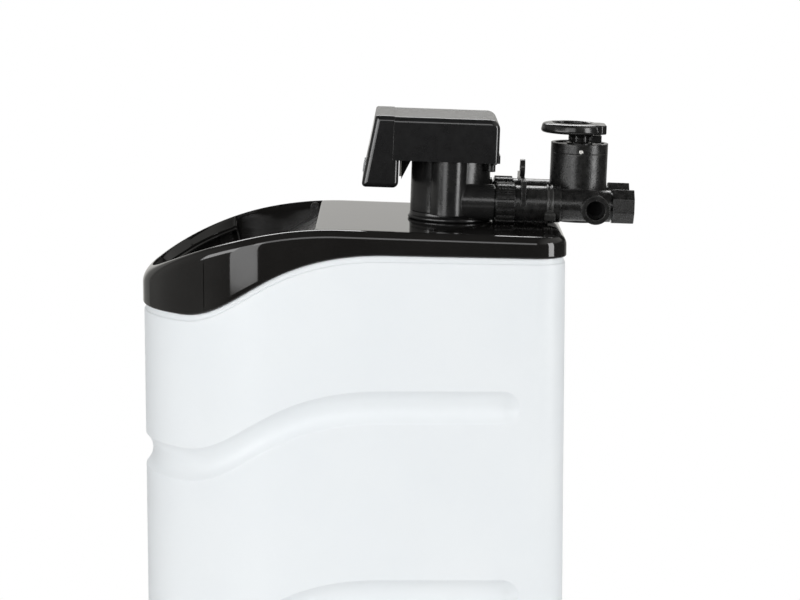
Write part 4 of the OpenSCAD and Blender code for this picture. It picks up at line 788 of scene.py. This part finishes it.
# The head's front panel
Hole = namedtuple("Hole", "x0 x1 w0 w1 depth")
PANEL_R, PANEL_CORNERS, LEAST_R = 7.0, {0: 4.5, 1: 3.5, 2: 1.0, 5: 7.0}, 0.6
PANEL_GAP, PANEL_STEP, SEAM_IN, SEAM_TURN = 0.02, 0.4, 0.14, 66
LINE_Z, LINE_HALF, LINE_DEPTH = 80.4, 0.8, 0.9
KEY_COUNT, KEY_PITCH, KEY_HALF = 4, 24, 8.3
KEY_MIDDLES = [(i - (KEY_COUNT - 1) / 2) * KEY_PITCH for i in range(KEY_COUNT)]
HOLES = [Hole(-40.3, 40.3, -1.3, 33.3, 2.2)]
HOLES += [Hole(x - KEY_HALF, x + KEY_HALF, -28.8, -19.2, 4.0) for x in KEY_MIDDLES]


def inset_outline(corners, moved, depth):
    """The panel's clockwise outline with some edges moved inwards, and some corners rounded."""
    n, steps = len(corners), 6
    points = [Vector(c) for c in corners]
    along = [(points[(i + 1) % n] - points[i]).normalized() for i in range(n)]
    inward = [Vector((d.y, -d.x)) for d in along]
    start = [points[i] + inward[i] * depth * moved[i] for i in range(n)]
    out = []
    for i in range(n):
        d0, d1, n0 = along[i - 1], along[i], inward[i - 1]
        reach = (start[i - 1] - start[i]).dot(n0) / d1.dot(n0)
        corner = start[i] + d1 * reach
        if i not in PANEL_CORNERS:
            out.append(corner)
            continue
        r = max(PANEL_CORNERS[i] - depth, LEAST_R)
        turn = d0.angle(d1)
        first = corner - d0 * r * math.tan(turn / 2)
        for k in range(steps + 1):
            a = turn * k / steps
            out.append(first + d0 * r * math.sin(a) + n0 * r * (1 - math.cos(a)))
    return out


def panel_block(bm):
    """The panel's body, skinned over sections that draw in towards its two sides."""
    seam, step_z = -HEAD_SEAM - PANEL_GAP, VALVE_H - PANEL_STEP
    corners = [(-PANEL_LOW, PANEL_Z), (-PANEL_TOP, HEAD_TOP), (seam, HEAD_TOP), (seam, step_z),
               (-PANEL_BACK, step_z), (-PANEL_BACK, PANEL_Z)]
    rings = []
    turns = np.linspace(0, 90, 9)
    for sign, side in ((-1, turns[::-1]), (1, turns)):
        for a in side:
            turn = math.radians(a)
            x = sign * (HEAD_HALF - PANEL_R * (1 - math.sin(turn)))
            at_seam = SEAM_IN * max(0.0, (a - SEAM_TURN) / (90 - SEAM_TURN))
            outline = inset_outline(corners, (1, 1, at_seam, 0, 1, 1), PANEL_R * (1 - math.cos(turn)))
            rings.append([bm.verts.new((x, y, z)) for y, z in outline])
    skin(bm, rings)
    bm.faces.new(rings[0])
    bm.faces.new(rings[-1][::-1])
    bmesh.ops.recalc_face_normals(bm, faces=bm.faces)
    bm.normal_update()


def panel_holes(bm):
    """Opens the sloping face for the window and the keys."""
    tilt = math.atan((PANEL_LOW - PANEL_TOP) / (HEAD_TOP - PANEL_Z))
    out = Vector((0, -math.cos(tilt), math.sin(tilt)))
    rise = Vector((0, math.sin(tilt), math.cos(tilt)))
    middle = Vector((0, -(PANEL_LOW + PANEL_TOP) / 2, (HEAD_TOP + PANEL_Z) / 2))
    face = max((f for f in bm.faces if f.normal.dot(out) > 0.999), key=lambda f: f.calc_area())
    xs = [v.co.x for v in face.verts]
    ws = [(v.co - middle).dot(rise) for v in face.verts]
    bmesh.ops.delete(bm, geom=[face], context="FACES_ONLY")

    def add_face(*places):
        spots = [middle + Vector((x, 0, 0)) + rise * w - out * d for x, w, d in places]
        bm.faces.new([bm.verts.new(p) for p in spots])

    cut_x = sorted({min(xs), max(xs)} | {x for h in HOLES for x in (h.x0, h.x1)})
    cut_w = sorted({min(ws), max(ws)} | {w for h in HOLES for w in (h.w0, h.w1)})
    for x0, x1 in zip(cut_x, cut_x[1:]):
        for w0, w1 in zip(cut_w, cut_w[1:]):
            x, w = (x0 + x1) / 2, (w0 + w1) / 2
            if not any(h.x0 < x < h.x1 and h.w0 < w < h.w1 for h in HOLES):
                add_face((x0, w0, 0), (x1, w0, 0), (x1, w1, 0), (x0, w1, 0))
    for h in HOLES:
        corners = [(h.x0, h.w0), (h.x1, h.w0), (h.x1, h.w1), (h.x0, h.w1)]
        for a, b in zip(corners, corners[1:] + corners[:1]):
            add_face((*a, 0), (*a, h.depth), (*b, h.depth), (*b, 0))
    bmesh.ops.remove_doubles(bm, verts=bm.verts, dist=0.005)


def panel_line(bm):
    """A fine moulded line round the panel, a little above the valve body's top."""
    for z in (LINE_Z - LINE_HALF, LINE_Z, LINE_Z + LINE_HALF):
        bmesh.ops.bisect_plane(bm, geom=bm.verts[:] + bm.edges[:] + bm.faces[:], dist=1e-4,
                               plane_co=(0, 0, z), plane_no=(0, 0, 1))
    bmesh.ops.recalc_face_normals(bm, faces=bm.faces)
    bm.normal_update()
    for v in bm.verts:
        if abs(v.co.z - LINE_Z) < 1e-3:
            v.co -= v.normal * LINE_DEPTH


def front_panel():
    bm = bmesh.new()
    panel_block(bm)
    panel_holes(bm)
    panel_line(bm)
    bm_piece("front_panel_shell", bm, DECK_FRAME, "head_black", "front_panel")


# The deck ring's bead: distance from its radius, and height
RING_BEAD = ((-1.5, 0.0), (-1.5, 0.5), (-0.7, 0.7), (-0.2, 1.2), (0, 1.9), (0, 2.8), (-0.2, 3.6), (-0.6, 4.3),
             (-1.1, 4.9), (-1.55, 5.5), (-1.9, 6.2), (-2.15, 7.2), (-2.3, 8.4), (-2.4, 9.4), (-2.5, RING_H))


def deck_ring():
    bm = bmesh.new()
    add_lathe(bm, [(FOOT_R, 0.0), *((RING_R + d, z) for d, z in RING_BEAD), (FOOT_R, RING_H)], 128)
    bm_piece("deck_ring_turned", bm, DECK_FRAME, "satin_black", "deck_ring")


# The bypass knob: its stem's radii and heights above the deck, and the blocks beside the stem
KNOB_TOP, STEM_Z, BLOCK_TOP = KNOB_Z + KNOB_H, 100.4, KNOB_Z - 2
KNOB_STEM = ((6.1, STEM_Z), (11.6, STEM_Z), (12.3, 101.1), (12.4, 106.4), (12.8, 107.2), (17.4, 111.6),
             (17.6, 112.4), (12.0, 113.0), (12.0, 117.2), (11.2, 118.0), (0.5, 118.0), (0.5, 116.4),
             (6.1, 116.4))
KNOB_BLOCKS = (((-9, 13.6, 100.7), (-4, 26.4, BLOCK_TOP)), ((4, 13.6, 100.7), (9, 26.4, BLOCK_TOP)),
               ((-5, 14.6, 100.9), (5, 17.6, BLOCK_TOP)))
WEB_COUNT, WEB_LOW, WEB_HIGH = 8, (-1.3, 11, 100.9), (1.3, 14.6, 109.0)


def arc_points(r, z, radius, first, last):
    turns = np.radians(np.linspace(first, last, 7))
    return [(r + radius * math.cos(a), z + radius * math.sin(a)) for a in turns]


def knob_ring(bm):
    """The dished ring, which sits ahead of the stem."""
    r, low, high = KNOB_R, KNOB_Z, KNOB_TOP
    upper = ((-7, 0.3), (-3.6, 1.0), (-2.3, 1.8), (-1.5, 2.8), (-1.05, 4.0))
    lower = ((-0.1, 4.2), (0, 3.2), (-0.3, 2.0), (-1.1, 0.9), (-2.3, 0.25), (-4, 0), (-18, 0))
    profile = [(0.5, low + 4), (r - 17, low + 4)]
    profile += arc_points(r - 16.5, low + 6.5, 2.5, -90, 0) + arc_points(r - 12.0, high - 2.0, 2.0, 180, 90)
    profile += [(r + d, high - h) for d, h in upper] + [(r + d, low + h) for d, h in lower] + [(0.5, low)]
    add_lathe(bm, profile, 128, centre=(0, -KNOB_FORWARD, 0), close=False)


def knob_pointer(bm):
    """The chamfered block at the rear of the ring."""
    half, chamfer, length = 22, 6, 18.5
    rear = KNOB_R - KNOB_FORWARD + 4
    plan = [(-half, rear - length), (half, rear - length), (half, rear - chamfer), (half - chamfer, rear),
            (chamfer - half, rear), (-half, rear - chamfer)]
    block = bmesh.new()
    foot = block.faces.new([block.verts.new((x, y, KNOB_Z)) for x, y in plan])
    lifted = bmesh.ops.extrude_face_region(block, geom=[foot])["geom"]
    bmesh.ops.translate(block, vec=(0, 0, KNOB_TOP - 1 - KNOB_Z),
                        verts=[v for v in lifted if isinstance(v, bmesh.types.BMVert)])
    bevel(block, block.edges[:], 1.5, 4)
    merge(bm, block)
    block.free()


def knob():
    bm = bmesh.new()
    knob_ring(bm)
    add_lathe(bm, KNOB_STEM, 64)
    knob_pointer(bm)
    for low, high in KNOB_BLOCKS:
        add_box(bm, low, high, 0.8)
    for i in range(WEB_COUNT):
        web = bmesh.new()
        add_box(web, WEB_LOW, WEB_HIGH, 0.4, 2)
        web.transform(Matrix.Rotation(2 * math.pi * (i + 0.5) / WEB_COUNT, 4, "Z"))
        merge(bm, web)
        web.free()
    place = DECK_FRAME @ Matrix.Translation((0, TOWER_Y * MM, 0))
    bm_piece("bypass_knob_turned", bm, place, "knob_black", "bypass_knob", "bypass_knob")


# One ridge of the cable tie: height above the port, and distance from the tie's middle
TIE_RIDGE = ((0.35, 0.8), (0.5, 1.1), (1.4, 1.5), (1.85, 2.2), (1.95, 2.8), (1.85, 3.4), (1.4, 4.0), (0.6, 4.4),
             (0.3, 4.5))
TIE_TURN = math.radians(30)


def cable_tie():
    bm = bmesh.new()
    ridge = [(PORT_R + rise, h) for rise, h in TIE_RIDGE]
    add_lathe(bm, [(r, -h) for r, h in ridge[::-1]] + ridge, 96, axis="Y")
    head = bmesh.new()
    add_box(head, (PORT_R + 0.35, -6.6, -5), (PORT_R + 6.2, 6.6, 5), 1.1)
    add_box(head, (PORT_R + 0.6, -3.2, 4), (PORT_R + 3.4, 3.2, 8.5), 0.6, 2)
    head.transform(Matrix.Rotation(TIE_TURN, 4, "Y"))
    merge(bm, head)
    head.free()
    place = DECK_FRAME @ Matrix.Translation((PORT_X * MM, TIE_Y * MM, PORT_Z * MM))
    bm_piece("cable_tie_band", bm, place, "tie_black", "cable_tie")


for make in (cabinet, cover, rear_cover, front_panel, deck_ring, knob, cable_tie):
    make()

# The other nodes keep their solids
# The bypass body's material has painted shade inside its side ports
SPECIAL = {"hinge_pins": "dark_steel", "cap_pins": "pin_steel", "salt_lid": "lid_black",
           "bypass_body": "port_painted_shade"}
EDGE, EDGE_SEGMENTS, EDGE_ANGLE = 0.5, 3, math.radians(32)
# Edges rounded by other than the usual half millimetre
EDGES = {"valve_body": 1.0, "bypass_body": 1.2, "bypass_cap": 1.0, "union_nuts": 0.8, "end_nuts": 1.0,
         "salt_lid": 1.2, "brine_tube": 0, "resin_tank": 0, "resin_bed": 0, "neck_seal": 0, "drive_gear": 0.15,
         "motor_pinion": 0.1, "meter_turbine": 0.2, "meter_cage": 0.3, "circuit_board": 0.2,
         "display_window": 0.3, "port_seals": 0.3}


def dress(obj, material, width):
    """Gives a CAD node its material, and rounds its edges."""
    obj.data.materials.clear()
    obj.data.materials.append(MATERIALS[material])
    for p in obj.data.polygons:
        p.use_smooth = True
        p.material_index = 0
    obj.modifiers.new("weld", "WELD").merge_threshold = 1e-5
    flat = obj.modifiers.new("flat", "DECIMATE")
    flat.decimate_type = "DISSOLVE"
    flat.angle_limit = math.radians(0.6)
    if width:
        edge = obj.modifiers.new("edge", "BEVEL")
        edge.width = width * MM
        edge.segments = EDGE_SEGMENTS
        edge.limit_method = "ANGLE"
        edge.angle_limit = EDGE_ANGLE
        edge.miter_outer = "MITER_ARC"
    obj.modifiers.new("normals", "WEIGHTED_NORMAL").keep_sharp = True


slot_of = {s["node"]: s["material_slot"] for s in frame["record"]["subparts"]}
for name, obj in nodes.items():
    if name not in REPLACED:
        dress(obj, SPECIAL.get(name, slot_of[name]), EDGES.get(name, EDGE))

# Floor, world and lights
FLOOR_R, FLOOR_Z, FLOOR_SIDES, FLOOR_FADE = 1.5, -0.0005, 96, (0.55, 1.35)


def floor_material():
    """Pale near the object, and fading to white away from it."""
    s = Shade("floor")
    s.colour(s.mixed(s.ranged(s.noise(3), 0, 1), (0.84, 0.84, 0.84), (0.88, 0.88, 0.88)))
    s.set(Roughness=0.65)
    path = s.add("ShaderNodeLightPath").outputs
    seen = s.math("MAXIMUM", path["Is Camera Ray"], path["Is Glossy Ray"])
    fade = s.math("MULTIPLY", s.ranged(s.length(s.coord), 0, 1, *FLOOR_FADE), seen)
    white = s.add("ShaderNodeEmission").outputs[0]
    s.link(s.blended(fade, s.shader.outputs[0], white), s.out.inputs[0])
    return MATERIALS["floor"]


def add_floor():
    turns = np.linspace(0, 2 * math.pi, FLOOR_SIDES, endpoint=False)
    outline = [(FLOOR_R * math.cos(a), FLOOR_R * math.sin(a), FLOOR_Z) for a in turns]
    mesh = bpy.data.meshes.new("floor")
    mesh.from_pydata(outline, [], [tuple(range(FLOOR_SIDES))])
    obj = link_object("floor", mesh)
    mesh.materials.append(floor_material())


def add_world():
    """White to the camera, a dim even light on the object, and a plain room in its reflections."""
    scene.world = bpy.data.worlds.new("studio")
    w = Nodes(scene.world)
    split = w.add("ShaderNodeSeparateXYZ")
    w.link(w.add("ShaderNodeTexCoord").outputs["Generated"], split.inputs[0])
    east, north, up = split.outputs
    far = w.math("MAXIMUM", w.ranged(east, 0.03, 0.31, -0.72, -0.745), w.ranged(east, 0.03, 0.72, -0.86, -0.96))
    backdrop = w.math("MULTIPLY", far, w.ranged(up, 1.0, 0.05, 0.47, 0.56))
    left_wall = w.ranged(north, 0.03, 0.28, -0.45, -0.85)
    right_wall = w.ranged(north, 0.05, 0.60, 0.25, 0.60)
    right_glow = w.math("MULTIPLY", right_wall, w.ranged(up, 0.10, 1.0, 0.24, 0.38))
    room = w.math("MAXIMUM", w.math("MAXIMUM", backdrop, left_wall), right_glow)
    path = w.add("ShaderNodeLightPath").outputs
    level = w.add("ShaderNodeMix")
    level.data_type = "FLOAT"
    w.link(path["Is Glossy Ray"], level.inputs[0])
    w.link(w.ranged(up, 0.05, 0.17, -0.25, 0.25), level.inputs[2])
    w.link(room, level.inputs[3])
    glow = w.add("ShaderNodeBackground", Color=(1.0, 0.988, 0.95, 1))
    w.link(level.outputs[0], glow.inputs["Strength"])
    white = w.add("ShaderNodeBackground", Color=(1, 1, 1, 1), Strength=1.0)
    direct = w.math("MAXIMUM", path["Is Camera Ray"], path["Is Transmission Ray"])
    out = w.add("ShaderNodeOutputWorld")
    w.link(w.blended(direct, glow.outputs[0], white.outputs[0]), out.inputs[0])


def softbox(name, place, target, size, power, mirrored=True):
    light = bpy.data.lights.new(name, "AREA")
    light.shape = "RECTANGLE"
    light.size, light.size_y = size
    light.energy = power
    obj = link_object(name, light)
    obj.location = place
    obj.rotation_euler = (Vector(target) - Vector(place)).to_track_quat("-Z", "Y").to_euler()
    obj.visible_camera = False
    obj.visible_glossy = mirrored


add_floor()
add_world()
softbox("left_box", (2.84, -1.20, 1.28), (0, 0, 1.1), (1.30, 1.70), 25)
softbox("left_strip", (1.61, -1.92, 1.38), (0, 0, 0.95), (1.45, 0.80), 22)
softbox("right_box", (1.29, 2.53, 1.28), (0, 0.1, 1.1), (0.95, 1.70), 39)
softbox("over_box", (2.75, -0.1, 1.95), (0, 0, 0.98), (1.8, 0.75), 12)
softbox("top_box", (0.3, 0.0, 3.2), (0, 0, 0.9), (2.2, 2.2), 14, False)
softbox("back_box", (-1.92, 0.0, 2.55), (0, 0, 0.95), (2.4, 0.85), 42)
softbox("rear_fill", (-0.8, 2.7, 1.5), (0, 0.1, 0.8), (1.2, 1.6), 10, False)
softbox("nose_fill", (0.4, -2.9, 1.5), (0, 0, 0.9), (1.4, 1.4), 7, False)
